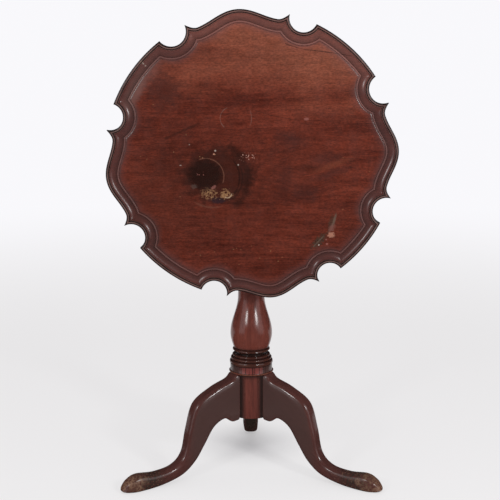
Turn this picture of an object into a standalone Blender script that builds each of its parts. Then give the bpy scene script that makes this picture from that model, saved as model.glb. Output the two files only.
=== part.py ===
"""Tilt-top tea table: a dished piecrust top on a turned column with three cabriole legs.

The top is modelled level, about its pintle axis, and stands tipped upright on the tilt empty.
Metres, +Z up. The column stands on Z, the single leg points to +Y, the upright top faces -Y.
"""
import math

import bmesh
import bpy
from mathutils import Matrix, Vector

# Fits
FIT_GAP = 0.0003
PIVOT_CLEARANCE = 0.00005
BOARD_CLEARANCE = 0.0004
MERGE_DISTANCE = 0.00001

# Top board
TABLE_HEIGHT = 0.7225
TOP_RADIUS = 0.3195
CROSS_GRAIN_RATIO = 0.988
RIM_THICKNESS = 0.022
FIELD_THICKNESS = 0.013
UNDER_BEVEL_WIDTH = 0.010
UNDER_BEVEL_HEIGHT = 0.005
RIM_BEAD_WIDTH = 0.0065
RIM_BEAD_ROUND = 0.0015
FILLET_DROP = 0.0020
FILLET_WIDTH = 0.0015
COVE_WIDTH = 0.0155
INNER_BEAD_WIDTH = 0.0045
INNER_BEAD_HEIGHT = 0.0018
NOTCH_DEPTH = 0.028
SERPENTINE_CREST = 0.0016
SERPENTINE_DIP = 0.0160
HORN_START = 0.79
# Carved sections: kind, middle angle and span in degrees, anticlockwise from +X
SECTIONS = (
    ("serpentine", 2.4, 38.6),
    ("plain", 48.7, 30.8),
    ("serpentine", 95.9, 41.4),
    ("plain", 143.5, 30.6),
    ("serpentine", 189.1, 39.4),
    ("plain", 234.7, 30.0),
    ("serpentine", 279.1, 38.1),
    ("plain", 320.3, 24.2),
)
SECTION_STEPS = {"plain": 8, "serpentine": 14}
NOTCH_STEPS = 8
COVE_STEPS = 3
TANGENT_STEP = 0.001
MEETING_STEPS = 40

# Tilt block and pintles
BLOCK_WIDTH = 0.150
BLOCK_DEPTH = 0.150
BLOCK_THICKNESS = 0.030
BLOCK_CHAMFER = 0.006
PINTLE_RADIUS = 0.009
PINTLE_LENGTH = 0.024
PIVOT_STEPS = 32
ROUND_STEPS = 8

# Battens
BATTEN_LENGTH = 0.470
BATTEN_WIDTH = 0.032
BATTEN_DEPTH = 0.031
BATTEN_END_DEPTH = 0.0135
BATTEN_FULL_LENGTH = 0.200
BATTEN_SIDE_GAP = 0.0006
BATTEN_SCREW_INSETS = (0.020, 0.095)

# Screws
SCREW_HEAD_RADIUS = 0.0040
SCREW_RADIUS = 0.0021
SCREW_GRIP = 0.0105
SCREW_BITE = 0.0085
SMALL_HEAD_RADIUS = 0.0027
SMALL_SCREW_RADIUS = 0.0014
SMALL_SCREW_LENGTH = 0.0105
SCREW_POINT = 0.0025
SCREW_STEPS = 10

# Column, built up from the drum that carries the legs
COLUMN_STEPS = 30
DRUM_BASE = 0.131
DRUM_RADIUS = 0.0465
DRUM_HEIGHT = 0.1045
LIP_RADIUS = 0.0515
LIP_HEIGHT = 0.0030
COLLAR_RADIUS = 0.0486
COLLAR_HEIGHT = 0.0150
LOWER_RING_RADIUS = 0.0502
LOWER_RING_HEIGHT = 0.0110
MIDDLE_RING_RADIUS = 0.0476
MIDDLE_RING_HEIGHT = 0.0070
UPPER_RING_RADIUS = 0.0440
UPPER_RING_HEIGHT = 0.0070
RING_QUIRK = 0.0022
NECK_RADIUS = 0.0345
NECK_HEIGHT = 0.0055
ASTRAGAL_RADIUS = 0.0433
ASTRAGAL_HEIGHT = 0.0085
BULB_FOOT_RADIUS = 0.0405
BULB_RADIUS = 0.0482
BULB_SWELL = 0.0340
BULB_SHOULDER = 0.0880
SHAFT_RADIUS = 0.0305
SHAFT_TOP_RADIUS = 0.0255
CAPITAL_RING_RADIUS = 0.0300
CAPITAL_RING_HEIGHT = 0.0060
CAPITAL_NECK_HEIGHT = 0.0120
CAPITAL_RADIUS = 0.0380
CAPITAL_HEIGHT = 0.0160
CAPITAL_EDGE = 0.0060
BEAD_STEPS = 4
BULB_STEPS = 5
TENON_RADIUS = 0.019
WEDGE_INSET = 0.004
WEDGE_DEPTH = 0.022
WEDGE_TOP = 0.0040
WEDGE_TIP = 0.0012

# Legs
LEG_ANGLES = {"leg_rear": 90.0, "leg_left": 210.0, "leg_right": 330.0}
LEG_REACH = 0.336
LEG_ROOT_DEPTH = 0.0165
LEG_THICKNESS = 0.041
LEG_STEPS = 3
LEG_SIDES = 16
TOE_ROUND = 0.0085
DOVETAIL_NECK = 0.016
DOVETAIL_TAIL = 0.024
DOVETAIL_DEPTH = 0.018
DOVETAIL_KEEP = 0.010
DOVETAIL_ROOT = 0.008
# Stations of the leg: its share of the way from root to toe and its share of the leg's height, for the
# upper and then for the lower edge, its share of the thickness and the squareness of its section.
# The foot reaches a little below the floor, and is cut level there.
LEG_RATIOS = (
    (0.000, 1.000, 0.000, 0.544, 1.000, 8.0),
    (0.060, 1.000, 0.060, 0.526, 1.000, 8.0),
    (0.106, 0.948, 0.100, 0.526, 1.000, 8.0),
    (0.243, 0.881, 0.163, 0.569, 1.000, 7.0),
    (0.394, 0.755, 0.252, 0.501, 0.966, 6.0),
    (0.457, 0.514, 0.328, 0.342, 0.888, 5.0),
    (0.500, 0.283, 0.404, 0.192, 0.829, 4.0),
    (0.588, 0.173, 0.512, 0.076, 0.820, 3.4),
    (0.730, 0.141, 0.680, 0.012, 0.878, 3.2),
    (0.872, 0.154, 0.862, -0.008, 0.951, 3.2),
    (0.946, 0.117, 0.944, -0.002, 0.820, 3.0),
    (0.986, 0.070, 0.986, 0.008, 0.517, 2.6),
    (1.000, 0.047, 1.000, 0.022, 0.224, 2.2),
)

# Catch
CASE_GAP = 0.004
FLANGE_EAR = 0.0135
FLANGE_TAIL = 0.010
FLANGE_THICKNESS = 0.002
CASE_WALL = 0.002
CASE_END_WALL = 0.003
SPRING_SPACE = 0.005
SCREW_EDGE = 0.005
BOLT_WIDTH = 0.012
BOLT_HEIGHT = 0.008
BOLT_LENGTH = 0.034
BOLT_THROW = 0.006
BOLT_CLEARANCE = 0.0005
BOLT_TRAVEL = 0.008
NOSE_LENGTH = 0.007
NOSE_FLAT = 0.0026
KNOB_STEM_RADIUS = 0.0024
KNOB_STEM_LENGTH = 0.0105
KNOB_RADIUS = 0.0055
KNOB_SETBACK = 0.023
KNOB_STEPS = 12
SPRING_RADIUS = 0.0028
SPRING_WIRE = 0.0008
SPRING_TURNS = 4
SPRING_POINTS = 8
STRIKE_EAR = 0.015
STRIKE_MARGIN = 0.006
STRIKE_THICKNESS = 0.0015
MORTISE_DEPTH = 0.012

# Places worked out from the sizes above
UNDERSIDE = BLOCK_THICKNESS / 2 + BOARD_CLEARANCE
AXIS_HEIGHT = TABLE_HEIGHT - RIM_THICKNESS - UNDERSIDE
AXIS_INSET = BLOCK_DEPTH / 2 - BLOCK_THICKNESS / 2
SHOULDER_HEIGHT = AXIS_HEIGHT - BLOCK_THICKNESS / 2 - FIT_GAP
LEG_HEIGHT = DRUM_BASE + DRUM_HEIGHT - FIT_GAP
FRONT_TURN = math.radians(LEG_ANGLES["leg_left"])
FRONT_REACH = -LEG_REACH * math.sin(FRONT_TURN) - TOE_ROUND * math.cos(FRONT_TURN)
COLUMN_Y = (FRONT_REACH - LEG_REACH) / 2
BLOCK_REAR = BLOCK_DEPTH - BLOCK_THICKNESS / 2
CASE_FRONT = BLOCK_REAR + CASE_GAP
CASE_TOP = UNDERSIDE - FIT_GAP
BOLT_TOP = CASE_TOP - FLANGE_THICKNESS - BOLT_CLEARANCE
BOLT_MIDDLE = BOLT_TOP - BOLT_HEIGHT / 2
BOLT_TIP = BLOCK_REAR - BOLT_THROW
BOLT_REAR = BOLT_TIP + BOLT_LENGTH
CASE_INNER_END = BOLT_REAR + BOLT_TRAVEL + SPRING_SPACE
CASE_REAR = CASE_INNER_END + CASE_END_WALL
CASE_HALF_WIDTH = BOLT_WIDTH / 2 + BOLT_CLEARANCE + CASE_WALL
FLANGE_HALF_WIDTH = CASE_HALF_WIDTH + FLANGE_EAR
FLANGE_REAR = CASE_REAR + FLANGE_TAIL
MORTISE_HALF_WIDTH = BOLT_WIDTH / 2 + BOLT_CLEARANCE * 2
MORTISE_HALF_HEIGHT = BOLT_HEIGHT / 2 + BOLT_CLEARANCE * 2
STRIKE_HALF_WIDTH = MORTISE_HALF_WIDTH + STRIKE_EAR
STRIKE_BOTTOM = BOLT_MIDDLE - MORTISE_HALF_HEIGHT - STRIKE_MARGIN
STRIKE_TOP = BLOCK_THICKNESS / 2
STRIKE_MIDDLE = (STRIKE_BOTTOM + STRIKE_TOP) / 2
KNOB_PLACE = BOLT_TIP + KNOB_SETBACK
WEDGE_WIDTH = 2 * (TENON_RADIUS - WEDGE_INSET)
LEG_ROOT = DRUM_RADIUS - LEG_ROOT_DEPTH

# Finishes: colour, roughness and metallic value
MAHOGANY = ((0.130, 0.035, 0.018), 0.30, 0.0)
DARK_MAHOGANY = ((0.090, 0.027, 0.017), 0.35, 0.0)
PALE_WOOD = ((0.240, 0.130, 0.060), 0.60, 0.0)
BRASS = ((0.560, 0.400, 0.150), 0.30, 1.0)
STEEL = ((0.250, 0.240, 0.230), 0.40, 1.0)

# Angles above which an edge of a round piece shows as sharp
TURNED_EDGE = 35.0
LOFT_EDGE = 30.0


def clear_scene():
    """Remove every object that the scene starts with."""
    for item in list(bpy.data.objects):
        bpy.data.objects.remove(item, do_unlink=True)


def new_collection(name):
    """Make a collection in the scene."""
    group = bpy.data.collections.new(name)
    bpy.context.scene.collection.children.link(group)
    return group


def new_material(name, finish):
    """Make a plain Principled material of a finish."""
    colour, roughness, metallic = finish
    material = bpy.data.materials.new(name)
    material.use_nodes = True
    shader = material.node_tree.nodes["Principled BSDF"]
    shader.inputs["Base Color"].default_value = (*colour, 1.0)
    shader.inputs["Roughness"].default_value = roughness
    shader.inputs["Metallic"].default_value = metallic
    material.diffuse_color = (*colour, 1.0)
    return material


def add_empty(name, location, turn_x=0.0, parent=None):
    """Place an empty that carries a group of pieces."""
    empty = bpy.data.objects.new(name, None)
    empty.location = location
    empty.rotation_euler = (math.radians(turn_x), 0.0, 0.0)
    empty.parent = parent
    TABLE.objects.link(empty)
    return empty


def add_piece(name, mesh, finish, parent):
    """Place a piece of the table, with its own material."""
    piece = bpy.data.objects.new(name, mesh)
    piece.parent = parent
    mesh.materials.clear()
    mesh.materials.append(new_material(name, finish))
    TABLE.objects.link(piece)
    return piece


def add_cutter(name, mesh, parent=None):
    """Place a shape that only cuts or joins other pieces."""
    cutter = bpy.data.objects.new(name, mesh)
    cutter.parent = parent
    cutter.hide_render = True
    cutter.display_type = "WIRE"
    CUTTERS.objects.link(cutter)
    return cutter


def combine(piece, other, operation="DIFFERENCE"):
    """Cut another shape out of a piece, or join it on."""
    step = piece.modifiers.new(other.name, "BOOLEAN")
    step.operation = operation
    step.solver = "EXACT"
    step.object = other


def evaluated_mesh(source, name):
    """Return the mesh of an object with its modifiers or curve settings applied, and remove the object."""
    bpy.context.view_layer.update()
    graph = bpy.context.evaluated_depsgraph_get()
    mesh = bpy.data.meshes.new_from_object(source.evaluated_get(graph))
    mesh.name = name
    bpy.data.objects.remove(source, do_unlink=True)
    return mesh


def finish_mesh(work, name, smooth_angle=None):
    """Turn a working mesh into a mesh with its faces out, round where an angle is given."""
    bmesh.ops.recalc_face_normals(work, faces=work.faces)
    mesh = bpy.data.meshes.new(name)
    work.to_mesh(mesh)
    work.free()
    if smooth_angle is not None:
        mesh.shade_smooth()
        mesh.set_sharp_from_angle(angle=math.radians(smooth_angle))
    return mesh


def box_mesh(name, low, high):
    """Make a box between two corners."""
    low = Vector(low)
    high = Vector(high)
    work = bmesh.new()
    placing = Matrix.Translation((low + high) / 2) @ Matrix.Diagonal((*(high - low), 1.0))
    bmesh.ops.create_cube(work, size=1.0, matrix=placing)
    return finish_mesh(work, name)


def cylinder_mesh(name, radius, start, end, steps):
    """Make a cylinder between two points."""
    start = Vector(start)
    run = Vector(end) - start
    placing = Matrix.Translation(start + run / 2) @ run.to_track_quat("Z", "Y").to_matrix().to_4x4()
    work = bmesh.new()
    bmesh.ops.create_cone(
        work, cap_ends=True, segments=steps, radius1=radius, radius2=radius,
        depth=run.length, matrix=placing)
    return finish_mesh(work, name, TURNED_EDGE)


def outline_mesh(name, points, thickness, placing):
    """Extrude a flat outline by its thickness, half to each side, and place it."""
    curve = bpy.data.curves.new(name, "CURVE")
    curve.dimensions = "2D"
    curve.fill_mode = "BOTH"
    curve.extrude = thickness / 2
    line = curve.splines.new("POLY")
    line.points.add(len(points) - 1)
    for point, (across, along) in zip(line.points, points):
        point.co = (across, along, 0.0, 1.0)
    line.use_cyclic_u = True
    holder = bpy.data.objects.new(name, curve)
    CUTTERS.objects.link(holder)
    flat = evaluated_mesh(holder, name)
    work = bmesh.new()
    work.from_mesh(flat)
    bmesh.ops.remove_doubles(work, verts=work.verts, dist=MERGE_DISTANCE)
    bmesh.ops.transform(work, matrix=placing, verts=work.verts)
    bpy.data.meshes.remove(flat)
    return finish_mesh(work, name)


def side_view(across_x=0.0):
    """Return the placing that turns an outline drawn in (Y, Z) into a slab across X."""
    turn = Matrix(((0.0, 0.0, 1.0), (1.0, 0.0, 0.0), (0.0, 1.0, 0.0))).to_4x4()
    return Matrix.Translation((across_x, 0.0, 0.0)) @ turn


def turned_mesh(name, profile, steps):
    """Turn a profile of (radius, height) points, listed from the top down, about Z."""
    work = bmesh.new()
    points = [work.verts.new((radius, 0.0, height)) for radius, height in profile]
    for upper, lower in zip(points, points[1:]):
        work.edges.new((upper, lower))
    mesh = bpy.data.meshes.new(name)
    work.to_mesh(mesh)
    work.free()
    holder = bpy.data.objects.new(name, mesh)
    CUTTERS.objects.link(holder)
    screw = holder.modifiers.new("turn", "SCREW")
    screw.steps = steps
    screw.render_steps = steps
    screw.use_merge_vertices = True
    screw.merge_threshold = MERGE_DISTANCE
    turned = evaluated_mesh(holder, name)
    work = bmesh.new()
    work.from_mesh(turned)
    bpy.data.meshes.remove(turned)
    return finish_mesh(work, name, TURNED_EDGE)


def loft_mesh(name, rings):
    """Join closed rings of points into a skin, and close it at both ends."""
    work = bmesh.new()
    loops = [[work.verts.new(point) for point in ring] for ring in rings]
    for lower, upper in zip(loops, loops[1:]):
        for index in range(len(lower)):
            after = (index + 1) % len(lower)
            work.faces.new((lower[index], lower[after], upper[after], upper[index]))
    work.faces.new(loops[0])
    work.faces.new(loops[-1])
    return finish_mesh(work, name, LOFT_EDGE)


def joined_mesh(name, meshes_and_places):
    """Gather copies of meshes, each at its place, into one mesh of separate bodies."""
    work = bmesh.new()
    for mesh, placing in meshes_and_places:
        copy = mesh.copy()
        copy.transform(placing)
        work.from_mesh(copy)
        bpy.data.meshes.remove(copy)
    return finish_mesh(work, name)


def blend(first, second, share):
    """Return the value at a share of the way from the first to the second."""
    return first + (second - first) * share


# Carved outline of the top

def section_radius(kind, share):
    """Return the rim's radius at a share of a section, from -1 at its start to 1 at its end."""
    reach = abs(share)
    if kind == "plain":
        return TOP_RADIUS
    if reach <= HORN_START:
        wave = math.sin(math.pi * reach / (2 * HORN_START)) ** 2
        return TOP_RADIUS + blend(SERPENTINE_CREST, -SERPENTINE_DIP, wave)
    horn = (reach - HORN_START) / (1 - HORN_START)
    return TOP_RADIUS - SERPENTINE_DIP * (1 - horn ** 2)


def section_point(section, share, inset):
    """Return a point of a section's edge, moved inward by an inset."""
    kind, middle, span = section

    def edge(place):
        angle = math.radians(middle + place * span / 2)
        return section_radius(kind, place) * Vector((math.cos(angle), math.sin(angle)))

    along = (edge(share + TANGENT_STEP) - edge(share - TANGENT_STEP)).normalized()
    return edge(share) + inset * Vector((-along.y, along.x))


def notch_between(section, following):
    """Return the centre, outward direction and radius of the round notch between two sections."""
    start = section_point(section, 1.0, 0.0)
    end = section_point(following, -1.0, 0.0)
    half_chord = (end - start).length / 2
    middle = (start + end) / 2
    outward = middle.normalized()
    radius = (half_chord ** 2 + NOTCH_DEPTH ** 2) / (2 * NOTCH_DEPTH)
    return middle + (radius - NOTCH_DEPTH) * outward, outward, radius


def section_end(section, notch, inset, end):
    """Return the share at which a section, moved inward, meets a notch that has grown by the same inset."""
    centre, _, radius = notch
    clear = 0.0
    past = end * 1.0
    for _ in range(MEETING_STEPS):
        share = (clear + past) / 2
        if (section_point(section, share, inset) - centre).length > radius + inset:
            clear = share
        else:
            past = share
    return clear


def rim_ring(inset, height):
    """Return one closed line of the carved rim, at an inset from the edge and a height above the base."""
    count = len(SECTIONS)
    notches = [notch_between(SECTIONS[index], SECTIONS[(index + 1) % count]) for index in range(count)]
    ring = []
    for index, section in enumerate(SECTIONS):
        start = section_end(section, notches[index - 1], inset, -1)
        end = section_end(section, notches[index], inset, 1)
        steps = SECTION_STEPS[section[0]]
        ring += [section_point(section, blend(start, end, step / steps), inset) for step in range(steps + 1)]
        following = SECTIONS[(index + 1) % count]
        centre, outward, radius = notches[index]
        sideways = Vector((-outward.y, outward.x))
        landing = section_point(following, section_end(following, notches[index], inset, -1), inset)
        turns = []
        for corner in (ring[-1], landing):
            arm = corner - centre
            turns.append(math.atan2(arm.dot(sideways), -arm.dot(outward)))
        for step in range(1, NOTCH_STEPS):
            turn = blend(turns[0], turns[1], step / NOTCH_STEPS)
            ring.append(centre + (radius + inset) * (math.sin(turn) * sideways - math.cos(turn) * outward))
    return [(point.x, point.y * CROSS_GRAIN_RATIO, height) for point in ring]


def rim_profile():
    """Return the moulding of the rim as (inset, height), from the underside over the edge to the field."""
    rim = RIM_THICKNESS
    field = FIELD_THICKNESS
    fillet = rim - FILLET_DROP
    cove_start = RIM_BEAD_WIDTH + FILLET_WIDTH
    profile = [
        (UNDER_BEVEL_WIDTH, 0.0),
        (0.0, UNDER_BEVEL_HEIGHT),
        (0.0, rim - RIM_BEAD_ROUND),
        (RIM_BEAD_ROUND, rim),
        (RIM_BEAD_WIDTH - RIM_BEAD_ROUND, rim),
        (RIM_BEAD_WIDTH, fillet),
    ]
    for step in range(COVE_STEPS + 1):
        turn = math.pi / 2 * step / COVE_STEPS
        inset = cove_start + COVE_WIDTH * (1 - math.cos(turn))
        profile.append((inset, field + (fillet - field) * (1 - math.sin(turn))))
    bead_start = cove_start + COVE_WIDTH
    profile.append((bead_start + INNER_BEAD_WIDTH / 2, field + INNER_BEAD_HEIGHT))
    profile.append((bead_start + INNER_BEAD_WIDTH, field))
    return profile


# Screws

def screw_profile(head_radius, radius, length, grow=0.0, pocket=0.0):
    """Return a countersunk screw's profile, head up; grown, with a pocket above the head, for its hole."""
    sink = head_radius - radius
    head = head_radius + grow
    shank = radius + grow
    top = pocket if pocket else grow
    return [
        (0.0, top),
        (head, top),
        (head, 0.0),
        (shank, -sink),
        (shank, -length + SCREW_POINT),
        (0.0, -length - grow),
    ]


def screw_mesh(name, head_radius, radius, length):
    """Make a countersunk screw, its head's flat face at the origin and its point down."""
    return turned_mesh(name, screw_profile(head_radius, radius, length), SCREW_STEPS)


def hole_mesh(name, head_radius, radius, length, pocket):
    """Make the shape of the hole that a screw sits in."""
    return turned_mesh(name, screw_profile(head_radius, radius, length, FIT_GAP, pocket), SCREW_STEPS)


POINT_UP = Matrix.Rotation(math.pi, 4, "X")
POINT_FORWARD = Matrix.Rotation(-math.pi / 2, 4, "X")


def batten_screw_places(side):
    """Return where one batten's screws sit: heads at one level, points up into the board."""
    across = side * (BLOCK_WIDTH / 2 + BATTEN_SIDE_GAP + BATTEN_WIDTH / 2)
    level = UNDERSIDE - SCREW_GRIP
    half = BATTEN_LENGTH / 2
    runs = [AXIS_INSET + end * (half - inset) for end in (-1, 1) for inset in BATTEN_SCREW_INSETS]
    return [Matrix.Translation((across, run, level)) @ POINT_UP for run in sorted(runs)]


def case_screw_places():
    """Return where the catch case's screws sit, at the corners of its flange."""
    across = FLANGE_HALF_WIDTH - SCREW_EDGE
    level = CASE_TOP - FLANGE_THICKNESS
    runs = (CASE_FRONT + SCREW_EDGE, FLANGE_REAR - SCREW_EDGE)
    return [Matrix.Translation((side * across, run, level)) @ POINT_UP for run in runs for side in (-1, 1)]


def strike_screw_places():
    """Return where the strike plate's screws sit, one at each side of the bolt's hole."""
    across = STRIKE_HALF_WIDTH - SCREW_EDGE
    places = [(side * across, BLOCK_REAR, STRIKE_MIDDLE) for side in (-1, 1)]
    return [Matrix.Translation(place) @ POINT_FORWARD for place in places]


# Stand

def bead_points(upper_base, lower_base, radius, top, height):
    """Return the points of a half-round ring between two base radii, from its top edge downwards."""
    points = []
    for step in range(BEAD_STEPS + 1):
        turn = math.pi * step / BEAD_STEPS
        fall = (1 - math.cos(turn)) / 2
        base = blend(upper_base, lower_base, fall)
        points.append((blend(base, radius, math.sin(turn)), top - height * fall))
    return points


def column_profile():
    """Return the column's outline from the top of its tenon down to the foot of its drum."""
    drum_top = DRUM_BASE + DRUM_HEIGHT
    lip_top = drum_top + LIP_HEIGHT
    collar_top = lip_top + COLLAR_HEIGHT
    lower_ring_top = collar_top + LOWER_RING_HEIGHT
    middle_ring_top = lower_ring_top + MIDDLE_RING_HEIGHT
    upper_ring_top = middle_ring_top + UPPER_RING_HEIGHT
    neck_top = upper_ring_top + NECK_HEIGHT
    astragal_top = neck_top + ASTRAGAL_HEIGHT
    belly = astragal_top + BULB_SWELL
    shaft_foot = belly + BULB_SHOULDER
    capital = SHOULDER_HEIGHT - CAPITAL_HEIGHT
    capital_edge = SHOULDER_HEIGHT - CAPITAL_EDGE
    ring_top = capital - CAPITAL_NECK_HEIGHT
    upper_quirk = UPPER_RING_RADIUS - RING_QUIRK
    middle_quirk = MIDDLE_RING_RADIUS - RING_QUIRK
    profile = [
        (0.0, AXIS_HEIGHT + BLOCK_THICKNESS / 2),
        (TENON_RADIUS, AXIS_HEIGHT + BLOCK_THICKNESS / 2),
        (TENON_RADIUS, SHOULDER_HEIGHT),
        (CAPITAL_RADIUS, SHOULDER_HEIGHT),
    ]
    for step in range(BULB_STEPS):
        turn = math.pi / 2 * step / (BULB_STEPS - 1)
        radius = blend(CAPITAL_RADIUS, SHAFT_TOP_RADIUS, math.sin(turn))
        profile.append((radius, blend(capital_edge, capital, 1 - math.cos(turn))))
    profile += bead_points(
        SHAFT_TOP_RADIUS, SHAFT_TOP_RADIUS, CAPITAL_RING_RADIUS, ring_top, CAPITAL_RING_HEIGHT)
    for step in range(BULB_STEPS * 2):
        share = step / (BULB_STEPS * 2)
        profile.append((blend(SHAFT_RADIUS, BULB_RADIUS, (1 - math.cos(math.pi * share)) / 2),
                        blend(shaft_foot, belly, share)))
    for step in range(BULB_STEPS + 1):
        share = step / BULB_STEPS
        profile.append((blend(BULB_FOOT_RADIUS, BULB_RADIUS, math.cos(math.pi / 2 * share)),
                        blend(belly, astragal_top, share)))
    profile += bead_points(NECK_RADIUS, NECK_RADIUS, ASTRAGAL_RADIUS, astragal_top, ASTRAGAL_HEIGHT)
    profile += bead_points(NECK_RADIUS, upper_quirk, UPPER_RING_RADIUS, upper_ring_top, UPPER_RING_HEIGHT)
    profile += bead_points(
        upper_quirk, middle_quirk, MIDDLE_RING_RADIUS, middle_ring_top, MIDDLE_RING_HEIGHT)
    profile += bead_points(
        middle_quirk, COLLAR_RADIUS, LOWER_RING_RADIUS, lower_ring_top, LOWER_RING_HEIGHT)
    profile += [
        (COLLAR_RADIUS, lip_top),
        (LIP_RADIUS, lip_top - LIP_HEIGHT / 3),
        (LIP_RADIUS, drum_top),
        (DRUM_RADIUS, drum_top),
        (DRUM_RADIUS, DRUM_BASE),
        (0.0, DRUM_BASE),
    ]
    return profile


def dovetail_mesh(name, grow, base, top):
    """Make a dovetail tongue on +X, or, grown, the socket that takes it."""
    outer = DRUM_RADIUS + DOVETAIL_ROOT
    inner = DRUM_RADIUS - DOVETAIL_DEPTH - grow
    flare = (DOVETAIL_TAIL - DOVETAIL_NECK) / 2 / DOVETAIL_DEPTH
    neck = DOVETAIL_NECK / 2 + grow
    tail = neck + flare * (DRUM_RADIUS - inner)
    right_side = [(outer, neck), (DRUM_RADIUS, neck), (inner, tail)]
    outline = right_side + [(run, -across) for run, across in reversed(right_side)]
    return outline_mesh(name, outline, top - base, Matrix.Translation((0.0, 0.0, (base + top) / 2)))


def wedge_outline(grow):
    """Return the wedge's thin outline in (X, Z), with its top level with the tenon's."""
    top = AXIS_HEIGHT + BLOCK_THICKNESS / 2
    wide = WEDGE_TOP / 2 + grow
    tip = WEDGE_TIP / 2 + grow
    low = top - WEDGE_DEPTH - grow
    return [(-wide, top + grow), (wide, top + grow), (tip, low), (-tip, low)]


def wedge_mesh(name, width, grow):
    """Make the wedge, or the slot that it opens in the tenon."""
    upright = Matrix.Rotation(math.pi / 2, 4, "X")
    return outline_mesh(name, wedge_outline(grow), width, upright)


def make_column(stand):
    """Turn the column, and cut the sockets for the legs and the slot for the wedge."""
    column = add_piece("column", turned_mesh("column", column_profile(), COLUMN_STEPS), MAHOGANY, stand)
    socket_top = LEG_HEIGHT - DOVETAIL_KEEP + FIT_GAP
    socket = dovetail_mesh("dovetail_socket", FIT_GAP, DRUM_BASE - DOVETAIL_KEEP, socket_top)
    turns = [(socket, Matrix.Rotation(math.radians(angle), 4, "Z")) for angle in LEG_ANGLES.values()]
    combine(column, add_cutter("dovetail_sockets", joined_mesh("dovetail_sockets", turns), stand))
    slot = wedge_mesh("wedge_slot", 2 * (TENON_RADIUS + FIT_GAP), FIT_GAP)
    combine(column, add_cutter("wedge_slot", slot, stand))


def make_wedge(stand):
    """Cut the wedge that spreads the tenon, shorter than the tenon is wide."""
    add_piece("tenon_wedge", wedge_mesh("tenon_wedge", WEDGE_WIDTH, 0.0), PALE_WOOD, stand)


def smooth_value(values, place):
    """Return a smooth curve's value between listed values, by a Catmull-Rom spline."""
    last = len(values) - 1
    index = min(int(place), last - 1)
    share = place - index
    before = values[max(index - 1, 0)]
    first = values[index]
    second = values[index + 1]
    after = values[min(index + 2, last)]
    lean_first = (second - before) / 2
    lean_second = (after - first) / 2
    rise = share * share * (3 - 2 * share)
    enter = share * (1 - share) ** 2
    leave = share * share * (share - 1)
    return blend(first, second, rise) + lean_first * enter + lean_second * leave


def leg_ring(place):
    """Return one section of the leg, across the line from its lower to its upper edge."""
    values = [smooth_value(column, place) for column in zip(*LEG_RATIOS)]
    upper_run, upper_rise, lower_run, lower_rise, share, square = values
    length = LEG_REACH - LEG_ROOT
    upper = Vector((LEG_ROOT + length * upper_run, 0.0, LEG_HEIGHT * upper_rise))
    lower = Vector((LEG_ROOT + length * lower_run, 0.0, LEG_HEIGHT * lower_rise))
    middle = (upper + lower) / 2
    tall = (upper - lower) / 2
    ring = []
    for side in range(LEG_SIDES):
        turn = 2 * math.pi * (side + 0.5) / LEG_SIDES
        across = math.copysign(abs(math.cos(turn)) ** (2 / square), math.cos(turn))
        along = math.copysign(abs(math.sin(turn)) ** (2 / square), math.sin(turn))
        ring.append(middle + tall * along + Vector((0.0, LEG_THICKNESS / 2 * share * across, 0.0)))
    return ring


def leg_mesh():
    """Loft one cabriole leg on +X, cope it to the drum, add its dovetail and level its foot."""
    stations = (len(LEG_RATIOS) - 1) * LEG_STEPS
    rings = [leg_ring(step / LEG_STEPS) for step in range(stations + 1)]
    blank = bpy.data.objects.new("leg_blank", loft_mesh("leg_blank", rings))
    CUTTERS.objects.link(blank)
    cope = cylinder_mesh("cope", DRUM_RADIUS + FIT_GAP, (0, 0, 0), (0, 0, LEG_HEIGHT * 2), COLUMN_STEPS)
    combine(blank, add_cutter("cope", cope))
    tongue = dovetail_mesh("dovetail_tongue", 0.0, DRUM_BASE, LEG_HEIGHT - DOVETAIL_KEEP)
    combine(blank, add_cutter("dovetail_tongue", tongue), "UNION")
    floor = box_mesh("floor", (0, -LEG_REACH, -LEG_REACH), (LEG_REACH * 2, LEG_REACH, 0))
    combine(blank, add_cutter("floor", floor))
    level = box_mesh("collar_level", (0, -LEG_REACH, LEG_HEIGHT), (LEG_REACH, LEG_REACH, LEG_HEIGHT * 2))
    combine(blank, add_cutter("collar_level", level))
    return evaluated_mesh(blank, "leg")


def make_legs(stand):
    """Set the three legs round the drum."""
    shape = leg_mesh()
    for name, angle in LEG_ANGLES.items():
        leg = add_piece(name, shape.copy(), DARK_MAHOGANY, stand)
        leg.rotation_euler = (0.0, 0.0, math.radians(angle))


def block_outline():
    """Return the block's side view in (Y, Z), its outer top edge round about the pintle axis."""
    half = BLOCK_THICKNESS / 2
    points = [
        (-half, -half + BLOCK_CHAMFER),
        (-half + BLOCK_CHAMFER, -half),
        (BLOCK_REAR - BLOCK_CHAMFER, -half),
        (BLOCK_REAR, -half + BLOCK_CHAMFER),
        (BLOCK_REAR, half),
    ]
    for step in range(ROUND_STEPS + 1):
        turn = math.pi / 2 * (1 + step / ROUND_STEPS)
        points.append((half * math.cos(turn), half * math.sin(turn)))
    return points


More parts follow.
